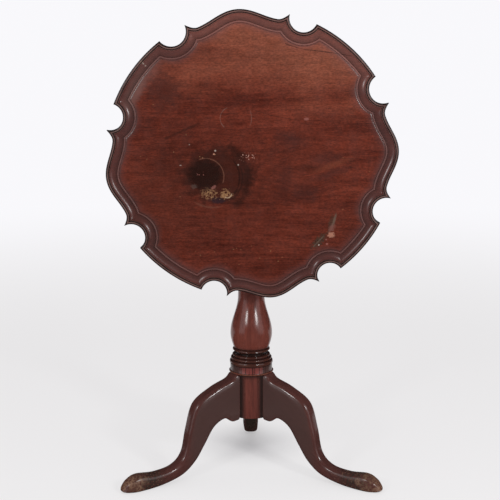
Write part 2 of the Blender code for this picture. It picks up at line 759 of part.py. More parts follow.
def make_block(pivot):
    """Cut the tilt block, with its pintles, its tenon hole and the seat of the strike plate."""
    block = add_piece("tilt_block", outline_mesh("tilt_block", block_outline(), BLOCK_WIDTH, side_view()),
                      PALE_WOOD, pivot)
    reach = BLOCK_WIDTH / 2 + PINTLE_LENGTH
    for side, name in ((-1, "pintle_left"), (1, "pintle_right")):
        start = (side * BLOCK_WIDTH / 4, 0.0, 0.0)
        pintle = cylinder_mesh(name, PINTLE_RADIUS, start, (side * reach, 0.0, 0.0), PIVOT_STEPS)
        combine(block, add_cutter(name, pintle, pivot), "UNION")
    hole = cylinder_mesh("tenon_hole", TENON_RADIUS + FIT_GAP, (0, AXIS_INSET, -BLOCK_THICKNESS),
                         (0, AXIS_INSET, BLOCK_THICKNESS), COLUMN_STEPS)
    combine(block, add_cutter("tenon_hole", hole, pivot))
    seat = strike_box("strike_seat", FIT_GAP, STRIKE_THICKNESS)
    combine(block, add_cutter("strike_seat", seat, pivot))
    low = BOLT_MIDDLE - MORTISE_HALF_HEIGHT
    high = BOLT_MIDDLE + MORTISE_HALF_HEIGHT
    mortise = box_mesh("bolt_mortise", (-MORTISE_HALF_WIDTH, BLOCK_REAR - MORTISE_DEPTH, low),
                       (MORTISE_HALF_WIDTH, BLOCK_REAR + MORTISE_DEPTH, high))
    bolt_mortise = add_cutter("bolt_mortise", mortise, pivot)
    combine(block, bolt_mortise)
    hole = hole_mesh("strike_hole", SMALL_HEAD_RADIUS, SMALL_SCREW_RADIUS, SMALL_SCREW_LENGTH, MORTISE_DEPTH)
    holes = joined_mesh("strike_holes", [(hole, place) for place in strike_screw_places()])
    screw_holes = add_cutter("strike_holes", holes, pivot)
    combine(block, screw_holes)
    plate_shape = strike_box("strike_plate", 0.0, STRIKE_THICKNESS)
    plate = add_piece("strike_plate", plate_shape, BRASS, pivot)
    combine(plate, bolt_mortise)
    combine(plate, screw_holes)


def strike_box(name, grow, depth):
    """Make the strike plate, or, grown, the seat that it lies in, level with the block's rear and top."""
    wide = STRIKE_HALF_WIDTH + grow
    outer = BLOCK_REAR + (depth if grow else 0.0)
    inner = BLOCK_REAR - depth - grow
    return box_mesh(name, (-wide, inner, STRIKE_BOTTOM - grow), (wide, outer, STRIKE_TOP + grow))


# Tilting top

def make_top(tilt):
    """Loft the carved board and drill it for the screws that hold the battens and the catch."""
    rings = [rim_ring(inset, height) for inset, height in rim_profile()]
    board = loft_mesh("top_board", rings)
    board.transform(Matrix.Translation((0.0, AXIS_INSET, UNDERSIDE)))
    top = add_piece("top_board", board, MAHOGANY, tilt)
    combine(top, bpy.data.objects["batten_holes_left"])
    combine(top, bpy.data.objects["batten_holes_right"])
    combine(top, bpy.data.objects["case_holes"])


def batten_outline():
    """Return a batten's side view in (Y, Z): level against the board, thinned towards its ends."""
    top = UNDERSIDE - FIT_GAP
    half = BATTEN_LENGTH / 2
    flat = BATTEN_FULL_LENGTH / 2
    points = [(AXIS_INSET - half, top), (AXIS_INSET - half, top - BATTEN_END_DEPTH)]
    points += [(AXIS_INSET - flat, top - BATTEN_DEPTH), (AXIS_INSET + flat, top - BATTEN_DEPTH)]
    points += [(AXIS_INSET + half, top - BATTEN_END_DEPTH), (AXIS_INSET + half, top)]
    return points


def make_battens(tilt):
    """Cut the two battens, bore them for the pintles and screw them to the board."""
    length = SCREW_GRIP + SCREW_BITE
    hole = hole_mesh("batten_hole", SCREW_HEAD_RADIUS, SCREW_RADIUS, length, BATTEN_DEPTH)
    bore_radius = PINTLE_RADIUS / math.cos(math.pi / PIVOT_STEPS) + PIVOT_CLEARANCE
    for side, word in ((-1, "left"), (1, "right")):
        inner = side * (BLOCK_WIDTH / 2 + BATTEN_SIDE_GAP)
        outer = inner + side * BATTEN_WIDTH
        slab = outline_mesh(f"batten_{word}", batten_outline(), BATTEN_WIDTH, side_view((inner + outer) / 2))
        batten = add_piece(f"batten_{word}", slab, PALE_WOOD, tilt)
        blind_end = side * (BLOCK_WIDTH / 2 + PINTLE_LENGTH + FIT_GAP)
        bore = cylinder_mesh(f"bore_{word}", bore_radius, (0, 0, 0), (blind_end, 0, 0), PIVOT_STEPS)
        combine(batten, add_cutter(f"bore_{word}", bore, tilt))
        places = batten_screw_places(side)
        holes = joined_mesh(f"batten_holes_{word}", [(hole, place) for place in places])
        combine(batten, add_cutter(f"batten_holes_{word}", holes, tilt))
        for number, place in enumerate(places, 1):
            name = f"batten_screw_{word}_{number}"
            screw = screw_mesh(name, SCREW_HEAD_RADIUS, SCREW_RADIUS, length)
            add_piece(name, screw, STEEL, tilt).matrix_local = place


def make_catch(tilt):
    """Make the catch: its case on the board, the sprung bolt in it and the screws that hold it."""
    bolt_half = BOLT_WIDTH / 2 + BOLT_CLEARANCE
    floor = BOLT_TOP - BOLT_HEIGHT - BOLT_CLEARANCE
    flange_bottom = CASE_TOP - FLANGE_THICKNESS
    flange = box_mesh("catch_case", (-FLANGE_HALF_WIDTH, CASE_FRONT, flange_bottom),
                      (FLANGE_HALF_WIDTH, FLANGE_REAR, CASE_TOP))
    case = add_piece("catch_case", flange, BRASS, tilt)
    shell = box_mesh("case_shell", (-CASE_HALF_WIDTH, CASE_FRONT, floor - CASE_WALL),
                     (CASE_HALF_WIDTH, CASE_REAR, CASE_TOP - FLANGE_THICKNESS / 2))
    combine(case, add_cutter("case_shell", shell, tilt), "UNION")
    tunnel = box_mesh("bolt_tunnel", (-bolt_half, CASE_FRONT - CASE_GAP, floor),
                      (bolt_half, CASE_INNER_END, flange_bottom))
    combine(case, add_cutter("bolt_tunnel", tunnel, tilt))
    stem = KNOB_STEM_RADIUS + BOLT_CLEARANCE
    slot = box_mesh("knob_slot", (-stem, KNOB_PLACE - stem, floor - CASE_WALL * 2),
                    (stem, KNOB_PLACE + BOLT_TRAVEL + stem, BOLT_MIDDLE))
    combine(case, add_cutter("knob_slot", slot, tilt))
    hole = hole_mesh("case_hole", SMALL_HEAD_RADIUS, SMALL_SCREW_RADIUS, SMALL_SCREW_LENGTH, CASE_WALL)
    holes = joined_mesh("case_holes", [(hole, place) for place in case_screw_places()])
    combine(case, add_cutter("case_holes", holes, tilt))
    for number, place in enumerate(case_screw_places(), 1):
        name = f"case_screw_{number}"
        screw = screw_mesh(name, SMALL_HEAD_RADIUS, SMALL_SCREW_RADIUS, SMALL_SCREW_LENGTH)
        add_piece(name, screw, STEEL, tilt).matrix_local = place
    make_bolt(tilt)
    make_spring(tilt)


def make_bolt(tilt):
    """Make the bolt: a bar with a sloped nose, and a thumb knob on a stem below it."""
    bottom = BOLT_TOP - BOLT_HEIGHT
    outline = [
        (BOLT_TIP, BOLT_TOP),
        (BOLT_TIP, BOLT_TOP - NOSE_FLAT),
        (BOLT_TIP + NOSE_LENGTH, bottom),
        (BOLT_REAR, bottom),
        (BOLT_REAR, BOLT_TOP),
    ]
    bar = outline_mesh("catch_bolt", outline, BOLT_WIDTH, side_view())
    bolt = add_piece("catch_bolt", bar, BRASS, tilt)
    foot = bottom - KNOB_STEM_LENGTH
    stem_reach = KNOB_STEM_LENGTH + BOLT_HEIGHT / 2
    profile = [(0.0, stem_reach), (KNOB_STEM_RADIUS, stem_reach)]
    start = math.asin(KNOB_STEM_RADIUS / KNOB_RADIUS)
    for step in range(KNOB_STEPS // 2 + 1):
        turn = blend(start, math.pi, step / (KNOB_STEPS // 2))
        profile.append((KNOB_RADIUS * math.sin(turn), KNOB_RADIUS * (math.cos(turn) - math.cos(start))))
    profile[-1] = (0.0, profile[-1][1])
    knob = turned_mesh("thumb_knob", profile, KNOB_STEPS)
    knob.transform(Matrix.Translation((0.0, KNOB_PLACE, foot)))
    combine(bolt, add_cutter("thumb_knob", knob, tilt), "UNION")


def make_spring(tilt):
    """Wind the spring that pushes the bolt out, between the bolt and the case's closed end."""
    start = BOLT_REAR + FIT_GAP + SPRING_WIRE / 2
    end = CASE_INNER_END - FIT_GAP - SPRING_WIRE / 2
    count = SPRING_TURNS * SPRING_POINTS
    points = []
    for step in range(count + 1):
        turn = 2 * math.pi * step / SPRING_POINTS
        run = blend(start, end, step / count)
        rise = BOLT_MIDDLE + SPRING_RADIUS * math.sin(turn)
        points.append(Vector((SPRING_RADIUS * math.cos(turn), run, rise)))
    gap = min((far - near).length for near, far in zip(points, points[SPRING_POINTS:])) - SPRING_WIRE
    print(f"catch spring: least gap between turns {gap * 1000:.2f} mm")
    curve = bpy.data.curves.new("catch_spring", "CURVE")
    curve.dimensions = "3D"
    curve.bevel_depth = SPRING_WIRE / 2
    curve.bevel_resolution = 1
    curve.use_fill_caps = True
    line = curve.splines.new("POLY")
    line.points.add(count)
    for point, place in zip(line.points, points):
        point.co = (*place, 1.0)
    spring = bpy.data.objects.new("catch_spring", curve)
    spring.parent = tilt
    curve.materials.append(new_material("catch_spring", STEEL))
    TABLE.objects.link(spring)


def make_strike_screws(pivot):
    """Set the screws that hold the strike plate."""
    for number, place in enumerate(strike_screw_places(), 1):
        name = f"strike_screw_{number}"
        screw = screw_mesh(name, SMALL_HEAD_RADIUS, SMALL_SCREW_RADIUS, SMALL_SCREW_LENGTH)
        add_piece(name, screw, STEEL, pivot).matrix_local = place


def main():
    """Build the stand, the block on it and the tilted top."""
    stand = add_empty("stand_axis", (0.0, COLUMN_Y, 0.0))
    pivot = add_empty("pintle_axis", (0.0, -AXIS_INSET, AXIS_HEIGHT), parent=stand)
    tilt = add_empty("tilt_axis", (0.0, -AXIS_INSET, AXIS_HEIGHT), turn_x=90.0, parent=stand)
    make_column(stand)
    make_wedge(stand)
    make_legs(stand)
    make_block(pivot)
    make_strike_screws(pivot)
    make_battens(tilt)
    make_catch(tilt)
    make_top(tilt)


clear_scene()
TABLE = new_collection("piecrust_tilt_top_table")
CUTTERS = new_collection("cutters")
main()
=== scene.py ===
"""Looks of the tilt-top tea table: carved piecrust top, turned column, cabriole legs and tilting fittings.

Metres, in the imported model's frame: +Z up, the upright top faces -Y, the single rear leg points to +Y.
"""

import logging
import math
from collections.abc import Sequence
from dataclasses import dataclass
from enum import Enum

import bmesh
import bpy
from mathutils import Matrix, Vector, noise


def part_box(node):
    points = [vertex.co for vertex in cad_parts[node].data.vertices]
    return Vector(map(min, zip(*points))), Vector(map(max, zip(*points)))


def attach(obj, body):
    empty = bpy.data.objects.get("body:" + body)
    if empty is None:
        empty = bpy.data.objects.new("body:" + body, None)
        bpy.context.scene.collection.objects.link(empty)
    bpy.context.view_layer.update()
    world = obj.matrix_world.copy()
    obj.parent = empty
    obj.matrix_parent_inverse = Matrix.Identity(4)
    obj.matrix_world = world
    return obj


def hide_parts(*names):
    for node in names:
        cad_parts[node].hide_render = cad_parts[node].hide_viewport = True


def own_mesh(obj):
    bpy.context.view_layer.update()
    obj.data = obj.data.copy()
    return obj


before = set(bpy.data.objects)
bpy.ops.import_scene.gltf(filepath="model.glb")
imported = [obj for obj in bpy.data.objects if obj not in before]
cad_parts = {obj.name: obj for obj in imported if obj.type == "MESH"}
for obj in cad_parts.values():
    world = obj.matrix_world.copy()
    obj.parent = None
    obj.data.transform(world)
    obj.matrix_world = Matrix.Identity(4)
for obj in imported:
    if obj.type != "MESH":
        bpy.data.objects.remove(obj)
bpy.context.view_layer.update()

LOG = logging.getLogger("tea_table")
MERGE_DISTANCE = 0.00001
FIT_GAP = 0.0003
DOVETAIL_KEEP = 0.010
TANGENT_STEP = 0.001
MEETING_STEPS = 40
DRUM_SEGMENTS = 96
LEG_SHIFT = 1.7
TURNED_EDGE = 35.0
LOFT_EDGE = 30.0
CARVED_EDGE = 38.0
FLAT_ANGLE = 1.0
COLUMN_PLACE = (0.0, -0.0803194, 0.0)
TOP_MIDDLE = (0.0, -0.1687194, 0.7451)
LEG_TURNS = {"leg_rear": 90.0, "leg_left": 210.0, "leg_right": 330.0}
ORIGIN = (0.0, 0.0, 0.0)
BLACK = (0.0, 0.0, 0.0, 1.0)
WHITE = (1.0, 1.0, 1.0, 1.0)

Socket = bpy.types.NodeSocket
Feed = Socket | float | Sequence[float]
Colour = tuple[float, float, float, float]
Pair = tuple[float, float]
Triple = tuple[float, float, float]
Ramp = tuple[float, float, float, float]


class GrainAxis(Enum):
    """The axis that a piece's grain runs along, as the order of its coordinates with the grain first."""

    X = (0, 1, 2)
    Z = (2, 0, 1)


class SectionKind(Enum):
    """The two kinds of section in the carved rim, by the number of points along one."""

    PLAIN = 30
    SERPENTINE = 48


class Graph:
    """A node tree in the making, with a short call for each kind of node that the looks use."""

    def __init__(self, tree: bpy.types.NodeTree) -> None:
        """Keep the tree that the nodes go into."""
        self.tree = tree

    def add(self, kind: str, feeds: dict | None = None, **settings: object) -> bpy.types.Node:
        """Add a node, set its properties and feed its inputs.

        Args:
            kind: The node's type.
            feeds: What goes into its inputs, by their names or numbers.
            settings: Its properties.

        Returns:
            The node.
        """
        node = self.tree.nodes.new(kind)
        for label, value in settings.items():
            setattr(node, label, value)
        for key, value in (feeds or {}).items():
            self.feed(node.inputs[key], value)
        return node

    def feed(self, socket: Socket, value: Feed) -> None:
        """Link an input to another node's output, or set its value."""
        if isinstance(value, bpy.types.NodeSocket):
            self.tree.links.new(value, socket)
        else:
            socket.default_value = value

    def calc(self, operation: str, *values: Feed) -> Socket:
        """Return the result of a Math node."""
        return self.add("ShaderNodeMath", dict(enumerate(values)), operation=operation).outputs[0]

    def _vector(self, operation: str, feeds: dict) -> bpy.types.Node:
        """Add a Vector Math node."""
        return self.add("ShaderNodeVectorMath", feeds, operation=operation)

    def move(self, operation: str, *values: Feed) -> Socket:
        """Return the vector that a Vector Math node gives."""
        return self._vector(operation, dict(enumerate(values))).outputs["Vector"]

    def measure(self, operation: str, *values: Feed) -> Socket:
        """Return the number that a Vector Math node gives."""
        return self._vector(operation, dict(enumerate(values))).outputs["Value"]

    def scaled(self, vector: Feed, factor: Feed) -> Socket:
        """Return a vector times a number."""
        return self._vector("SCALE", {0: vector, "Scale": factor}).outputs["Vector"]

    def parts(self, vector: Feed) -> tuple[Socket, ...]:
        """Return the three numbers of a vector."""
        return tuple(self.add("ShaderNodeSeparateXYZ", {0: vector}).outputs)

    def joined(self, *numbers: Feed) -> Socket:
        """Return the vector of up to three numbers."""
        return self.add("ShaderNodeCombineXYZ", dict(enumerate(numbers))).outputs[0]

    def times(self, *values: Feed) -> Socket:
        """Return the product of numbers."""
        product = values[0]
        for value in values[1:]:
            product = self.calc("MULTIPLY", product, value)
        return product

    def between(self, value: Feed, low: float, high: float) -> Socket:
        """Return 1 where a value lies between two limits, and 0 elsewhere."""
        return self.times(self.calc("GREATER_THAN", value, low), self.calc("LESS_THAN", value, high))

    def swing(self, value: Feed, gain: Feed, level: Feed) -> Socket:
        """Return a level, moved by a value's swing about a half times a gain."""
        return self.calc("MULTIPLY_ADD", self.calc("SUBTRACT", value, 0.5), gain, level)

    def span(self, value: Feed, low: Feed, high: Feed, start: float = 0.0, end: float = 1.0) -> Socket:
        """Return a value carried smoothly from the range low to high into the range start to end."""
        feeds = {"Value": value, "From Min": low, "From Max": high, "To Min": start, "To Max": end}
        return self.add("ShaderNodeMapRange", feeds, interpolation_type="SMOOTHSTEP").outputs["Result"]

    def mix(self, share: Feed, first: Feed, second: Feed, blend: str = "MIX") -> Socket:
        """Return the mix of two colours."""
        feeds = {0: share, 6: first, 7: second}
        return self.add("ShaderNodeMix", feeds, data_type="RGBA", blend_type=blend).outputs[2]

    def cloud(self, place: Feed, waves: Sequence[float] | float, detail: float = 3.0,
              twist: float = 0.0) -> Socket:
        """Return soft noise.

        Args:
            place: The coordinates it is drawn on.
            waves: Its waves to the metre, along each axis or alike along all three.
            detail: How many finer layers it has.
            twist: How far it is distorted.

        Returns:
            A value about a half.
        """
        each = (waves,) * 3 if isinstance(waves, float) else waves
        feeds = {"Vector": self.move("MULTIPLY", place, each), "Scale": 1.0}
        return self.add("ShaderNodeTexNoise", feeds | {"Detail": detail, "Distortion": twist}).outputs[0]

    def group(self, tree: bpy.types.NodeTree, feeds: dict) -> bpy.types.Node:
        """Place a node group with its own values."""
        return self.add("ShaderNodeGroup", feeds, node_tree=tree)

    def attribute(self, name: str, output: str = "Fac") -> Socket:
        """Return an attribute of the piece's own mesh."""
        return self.add("ShaderNodeAttribute", attribute_name=name).outputs[output]

    def object_place(self) -> Socket:
        """Return the piece's own coordinates."""
        return self.add("ShaderNodeTexCoord").outputs["Object"]


class TreeMaker:
    """A node tree in the making: its graph, its inputs' keys, what it is given and what it makes."""

    def __init__(self, name: str, kind: str, inputs: dict[str, str], outputs: dict[str, str]) -> None:
        """Open a tree.

        Args:
            name: The tree's name.
            kind: The tree's type.
            inputs: Its inputs' names and kinds.
            outputs: Its outputs' names and kinds.
        """
        self.tree = bpy.data.node_groups.new(name, kind)
        self.keys = {label: self._socket(label, "INPUT", sort).identifier for label, sort in inputs.items()}
        for label, sort in outputs.items():
            self._socket(label, "OUTPUT", sort)
        self.graph = Graph(self.tree)
        self.given = self.tree.nodes.new("NodeGroupInput").outputs
        self.made = self.tree.nodes.new("NodeGroupOutput").inputs

    def _socket(self, label: str, way: str, sort: str) -> bpy.types.NodeTreeInterfaceSocket:
        """Add an input or an output."""
        return self.tree.interface.new_socket(label, in_out=way, socket_type=f"NodeSocket{sort}")


class GroupMaker(TreeMaker):
    """A shader node group in the making, whose inputs take their kinds from their first values."""

    def __init__(self, name: str, inputs: dict[str, Feed], outputs: dict[str, str]) -> None:
        """Open a group.

        Args:
            name: The group's name.
            inputs: Its inputs' names and first values.
            outputs: Its outputs' names and kinds.
        """
        kinds = {label: self._kind(value) for label, value in inputs.items()}
        super().__init__(name, "ShaderNodeTree", kinds, outputs)
        for item in self.tree.interface.items_tree:
            if item.in_out == "INPUT":
                item.default_value = inputs[item.name]

    @staticmethod
    def _kind(value: Feed) -> str:
        """Return the kind of socket that holds a value."""
        if isinstance(value, float):
            return "Float"
        return "Vector" if len(value) == len(ORIGIN) else "Color"


class Effects:
    """The shader groups that the finishes share, each built once."""

    PORE = (0.020, 0.008, 0.005, 1.0)
    FLAT = (1.0, 0.0, 1.0)
    BAND_WAVES = (1.6, 12.0, 12.0)
    BAND_TWIST = 0.8
    MOTTLE_WAVES = (9.0, 24.0, 24.0)
    STREAK_WAVES = (6.0, 130.0, 130.0)
    HAIR_WAVES = (26.0, 460.0, 460.0)
    PORE_WAVES = (80.0, 1300.0, 1300.0)
    PORE_EDGE = (0.56, 0.68)
    FLECK_WAVES = (20.0, 300.0, 300.0)
    FLECK_EDGE = (0.54, 0.74)
    FIGURE_GAIN = 2.6
    STREAK_GAIN = 2.4
    EDGE_WAVES = (1.0, 1.0, 1.45)
    LINE_WAVES = 60.0
    LINE_WIDTHS = (0.25, 0.7, 0.2, 1.4)
    ARC_WAVES = 70.0
    ARC_WIDTHS = (0.25, 0.6, 0.3, 1.2)
    ARC_FADE = 0.12
    SPECK_WAVES = 300.0
    SPECK_CORE = 0.6
    POLISH_WAVES = 38.0
    POLISH_SWING = 0.22
    # Patches of the worn places; on the top's moulding these are painted highlights.
    WORN_AND_GLINTING_PATCHES = (0.30, 0.62, 0.25, 1.0)
    GRIME_AND_SHADE_DULL = 0.10
    BARE_AND_HIGHLIGHT_DULL = 0.18
    FILM_WAVES = 90.0
    FILM_EDGE = (0.32, 0.68)
    FILM_DULL = 0.35
    PIT_WAVES = 700.0

    def __init__(self) -> None:
        """Build every group."""
        self.grain = self._grain()
        self.knot = self._knot()
        self.blot = self._blot()
        self.line = self._line()
        self.arc = self._arc()
        self.specks = self._specks()
        self.crackle = self._crackle()
        self.polish = self._polish()
        self.tarnish = self._tarnish()

    def _grain(self) -> bpy.types.NodeTree:
        """Build the grain of a wood whose fibres run along X: bands, streaks, hairs and open pores."""
        inputs = {"Vector": ORIGIN, "Pale": WHITE, "Deep": BLACK, "Figure": 0.5, "Streak": 0.5, "Pores": 0.5}
        make = GroupMaker("wood_grain", inputs, {"Color": "Color", "Height": "Float"})
        g, given = make.graph, make.given
        place = given["Vector"]
        bands = g.cloud(place, self.BAND_WAVES, twist=self.BAND_TWIST)
        mottle = g.cloud(place, self.MOTTLE_WAVES, 4.0)
        streaks = g.cloud(place, self.STREAK_WAVES, 4.0)
        hairs = g.cloud(place, self.HAIR_WAVES, 2.0)
        figure = g.times(given["Figure"], self.FIGURE_GAIN)
        streak = g.times(given["Streak"], self.STREAK_GAIN)
        tone = g.swing(bands, figure, 0.5)
        tone = g.swing(mottle, g.times(figure, 0.5), tone)
        tone = g.swing(streaks, streak, tone)
        tone = g.swing(hairs, streak, tone)
        pores = g.span(g.cloud(place, self.PORE_WAVES, 1.0), *self.PORE_EDGE)
        flecks = g.span(g.cloud(place, self.FLECK_WAVES, 2.0), *self.FLECK_EDGE)
        pores = g.times(g.calc("MAXIMUM", pores, flecks), given["Pores"])
        colour = g.mix(tone, given["Deep"], given["Pale"])
        g.feed(make.made["Color"], g.mix(pores, colour, self.PORE))
        g.feed(make.made["Height"], g.calc("SUBTRACT", g.times(hairs, 0.5), pores))
        return make.tree

    def _knot(self) -> bpy.types.NodeTree:
        """Build the bend that a knot gives to the grain round it."""
        inputs = {"Vector": ORIGIN, "Centre": ORIGIN, "Size": (1.0, 1.0, 1.0), "Pull": 0.5}
        make = GroupMaker("grain_knot", inputs, {"Vector": "Vector"})
        g, given = make.graph, make.given
        arm = g.move("SUBTRACT", given["Vector"], given["Centre"])
        reach = g.measure("LENGTH", g.move("DIVIDE", arm, given["Size"]))
        pull = g.times(g.span(reach, 1.0, 0.0), given["Pull"])
        g.feed(make.made["Vector"], g.move("SUBTRACT", given["Vector"], g.scaled(arm, pull)))
        return make.tree

    def _blot(self) -> bpy.types.NodeTree:
        """Build an oval patch, turned about Y, with a soft and ragged edge."""
        inputs = {"Vector": ORIGIN, "Centre": ORIGIN, "Size": (1.0, 1.0, 1.0), "Turn": 0.0}
        inputs |= {"Ragged": 0.3, "Soft": 0.3, "Waves": 55.0}
        make = GroupMaker("oval_patch", inputs, {"Mask": "Float"})
        g, given = make.graph, make.given
        arm = g.move("SUBTRACT", given["Vector"], given["Centre"])
        feeds = {"Vector": arm, "Angle": given["Turn"]}
        turned = g.add("ShaderNodeVectorRotate", feeds, rotation_type="Y_AXIS").outputs["Vector"]
        reach = g.measure("LENGTH", g.move("DIVIDE", turned, given["Size"]))
        waves = g.scaled(given["Vector"], given["Waves"])
        edge = g.swing(g.cloud(waves, self.EDGE_WAVES, 4.0), given["Ragged"], reach)
        outer = g.calc("ADD", 1.0, given["Soft"])
        inner = g.calc("SUBTRACT", 1.0, given["Soft"])
        g.feed(make.made["Mask"], g.span(edge, outer, inner))
        return make.tree

    def _line(self) -> bpy.types.NodeTree:
        """Build a thin line between two points, a little uneven."""
        inputs = {"Vector": ORIGIN, "Start": ORIGIN, "End": (1.0, 0.0, 0.0), "Width": 0.001}
        make = GroupMaker("scratch_line", inputs, {"Mask": "Float"})
        g, given = make.graph, make.given
        arm = g.move("SUBTRACT", given["Vector"], given["Start"])
        run = g.move("SUBTRACT", given["End"], given["Start"])
        share = g.calc("DIVIDE", g.measure("DOT_PRODUCT", arm, run), g.measure("DOT_PRODUCT", run, run))
        share = g.calc("MINIMUM", g.calc("MAXIMUM", share, 0.0), 1.0)
        off = g.move("SUBTRACT", arm, g.scaled(run, share))
        away = g.measure("LENGTH", g.move("MULTIPLY", off, self.FLAT))
        uneven = g.span(g.cloud(given["Vector"], self.LINE_WAVES), *self.LINE_WIDTHS)
        g.feed(make.made["Mask"], g.span(away, g.times(given["Width"], uneven), 0.0))
        return make.tree

    def _arc(self) -> bpy.types.NodeTree:
        """Build a thin arc of a circle, on the side that it faces."""
        inputs = {"Vector": ORIGIN, "Centre": ORIGIN, "Facing": (1.0, 0.0, 0.0)}
        inputs |= {"Radius": 0.05, "Width": 0.001, "Reach": 0.5}
        make = GroupMaker("scratch_arc", inputs, {"Mask": "Float"})
        g, given = make.graph, make.given
        arm = g.move("MULTIPLY", g.move("SUBTRACT", given["Vector"], given["Centre"]), self.FLAT)
        reach = g.measure("LENGTH", arm)
        off = g.calc("ABSOLUTE", g.calc("SUBTRACT", reach, given["Radius"]))
        facing = g.calc("DIVIDE", g.measure("DOT_PRODUCT", arm, given["Facing"]), reach)
        inside = g.span(facing, given["Reach"], g.calc("ADD", given["Reach"], self.ARC_FADE))
        uneven = g.span(g.cloud(given["Vector"], self.ARC_WAVES), *self.ARC_WIDTHS)
        line = g.span(off, g.times(given["Width"], uneven), 0.0)
        g.feed(make.made["Mask"], g.times(line, inside))
        return make.tree

    def _specks(self) -> bpy.types.NodeTree:
        """Build scattered specks."""
        inputs = {"Vector": ORIGIN, "Scale": 100.0, "Share": 0.2, "Size": 0.3}
        make = GroupMaker("scattered_specks", inputs, {"Mask": "Float"})
        g, given = make.graph, make.given
        cells = g.add("ShaderNodeTexVoronoi", {"Vector": given["Vector"], "Scale": given["Scale"]})
        size = g.times(given["Size"], g.cloud(given["Vector"], self.SPECK_WAVES))
        dot = g.span(cells.outputs["Distance"], size, g.times(size, self.SPECK_CORE))
        chance = g.add("ShaderNodeSeparateColor", {0: cells.outputs["Color"]}).outputs[0]
        g.feed(make.made["Mask"], g.times(dot, g.calc("LESS_THAN", chance, given["Share"])))
        return make.tree

    def _crackle(self) -> bpy.types.NodeTree:
        """Build a net of fine cracks."""
        inputs = {"Vector": ORIGIN, "Scale": 100.0, "Width": 0.1}
        make = GroupMaker("crackle_net", inputs, {"Mask": "Float"})
        g, given = make.graph, make.given
        feeds = {"Vector": given["Vector"], "Scale": given["Scale"]}
        cells = g.add("ShaderNodeTexVoronoi", feeds, feature="DISTANCE_TO_EDGE")
        g.feed(make.made["Mask"], g.span(cells.outputs["Distance"], given["Width"], 0.0))
        return make.tree

    def _polish(self) -> bpy.types.NodeTree:
        """Build old polish: soiling and painted shade where it is darkened, worn-through wood and painted
        highlights where it is worn, and an uneven gloss.
        """
        inputs = {"Vector": ORIGIN, "Color": WHITE, "Grime": BLACK, "Bare": WHITE}
        inputs |= {"Dirt": 0.0, "Wear": 0.0, "Gloss": 0.3}
        make = GroupMaker("old_polish", inputs, {"Color": "Color", "Roughness": "Float"})
        g, given = make.graph, make.given
        patchy = g.cloud(given["Vector"], self.POLISH_WAVES, 4.0)
        # Worn places are painted highlights on the top's moulding and real rubbing elsewhere; darkened places
        # are soiling together with painted shade.
        worn_and_glinting = g.times(given["Wear"], g.span(patchy, *self.WORN_AND_GLINTING_PATCHES))
        colour = g.mix(given["Dirt"], given["Color"], given["Grime"])
        g.feed(make.made["Color"], g.mix(worn_and_glinting, colour, given["Bare"]))
        rough = g.swing(patchy, self.POLISH_SWING, given["Gloss"])
        rough = g.calc("MULTIPLY_ADD", given["Dirt"], self.GRIME_AND_SHADE_DULL, rough)
        g.feed(make.made["Roughness"], g.calc("MULTIPLY_ADD", worn_and_glinting, self.BARE_AND_HIGHLIGHT_DULL, rough))
        return make.tree

    def _tarnish(self) -> bpy.types.NodeTree:
        """Build the dull film on old metal."""
        inputs = {"Vector": ORIGIN, "Bright": WHITE, "Dull": BLACK, "Amount": 0.5, "Gloss": 0.3}
        make = GroupMaker("tarnish", inputs, {"Color": "Color", "Roughness": "Float", "Height": "Float"})
        g, given = make.graph, make.given
        film = g.cloud(given["Vector"], self.FILM_WAVES, 5.0)
        amount = g.times(g.span(film, *self.FILM_EDGE), given["Amount"])
        g.feed(make.made["Color"], g.mix(amount, given["Bright"], given["Dull"]))
        g.feed(make.made["Roughness"], g.calc("MULTIPLY_ADD", amount, self.FILM_DULL, given["Gloss"]))
        g.feed(make.made["Height"], g.cloud(given["Vector"], self.PIT_WAVES))
        return make.tree


@dataclass(frozen=True)
class Mark:
    """A mark on the field of the top: its colour and how strongly it covers the wood."""

    colour: Colour
    share: float

    def mask(self, g: Graph, fx: Effects, place: Socket) -> Socket:
        """Return where the mark lies."""
        raise NotImplementedError

    def lay(self, g: Graph, fx: Effects, place: Socket, under: Socket) -> Socket:
        """Return the colour under the mark with the mark laid over it."""
        return g.mix(g.times(self.mask(g, fx, place), self.share), under, self.colour)


@dataclass(frozen=True)
class Blot(Mark):
    """An oval patch about a centre, given across and up from the middle of the top."""

    centre: Pair
    size: Pair
    turn: float = 0.0
    ragged: float = 0.6
    soft: float = 0.3
    waves: float = 55.0

    def mask(self, g: Graph, fx: Effects, place: Socket) -> Socket:
        """Return where the patch lies."""
        feeds = {"Vector": place, "Centre": on_field(self.centre), "Size": on_field(self.size, 1.0)}
        feeds |= {"Turn": math.radians(self.turn), "Ragged": self.ragged}
        feeds |= {"Soft": self.soft, "Waves": self.waves}
        return g.group(fx.blot, feeds).outputs["Mask"]


@dataclass(frozen=True)
class Flakes(Blot):
    """An oval patch broken up into flakes, with their number to the metre and the share that is there."""

    scale: float = 150.0
    density: float = 0.5
    spread: float = 1.0

    def mask(self, g: Graph, fx: Effects, place: Socket) -> Socket:
        """Return where the flakes lie."""
        feeds = {"Vector": place, "Scale": self.scale, "Share": self.density, "Size": self.spread}
        return g.times(super().mask(g, fx, place), g.group(fx.specks, feeds).outputs["Mask"])


@dataclass(frozen=True)
class Crackle(Blot):
    """An oval patch of crazed lines, with their number to the metre and their width as a share of a cell."""

    scale: float = 170.0
    width: float = 0.2

    def mask(self, g: Graph, fx: Effects, place: Socket) -> Socket:
        """Return where the lines lie."""
        feeds = {"Vector": place, "Scale": self.scale, "Width": self.width}
        return g.times(super().mask(g, fx, place), g.group(fx.crackle, feeds).outputs["Mask"])


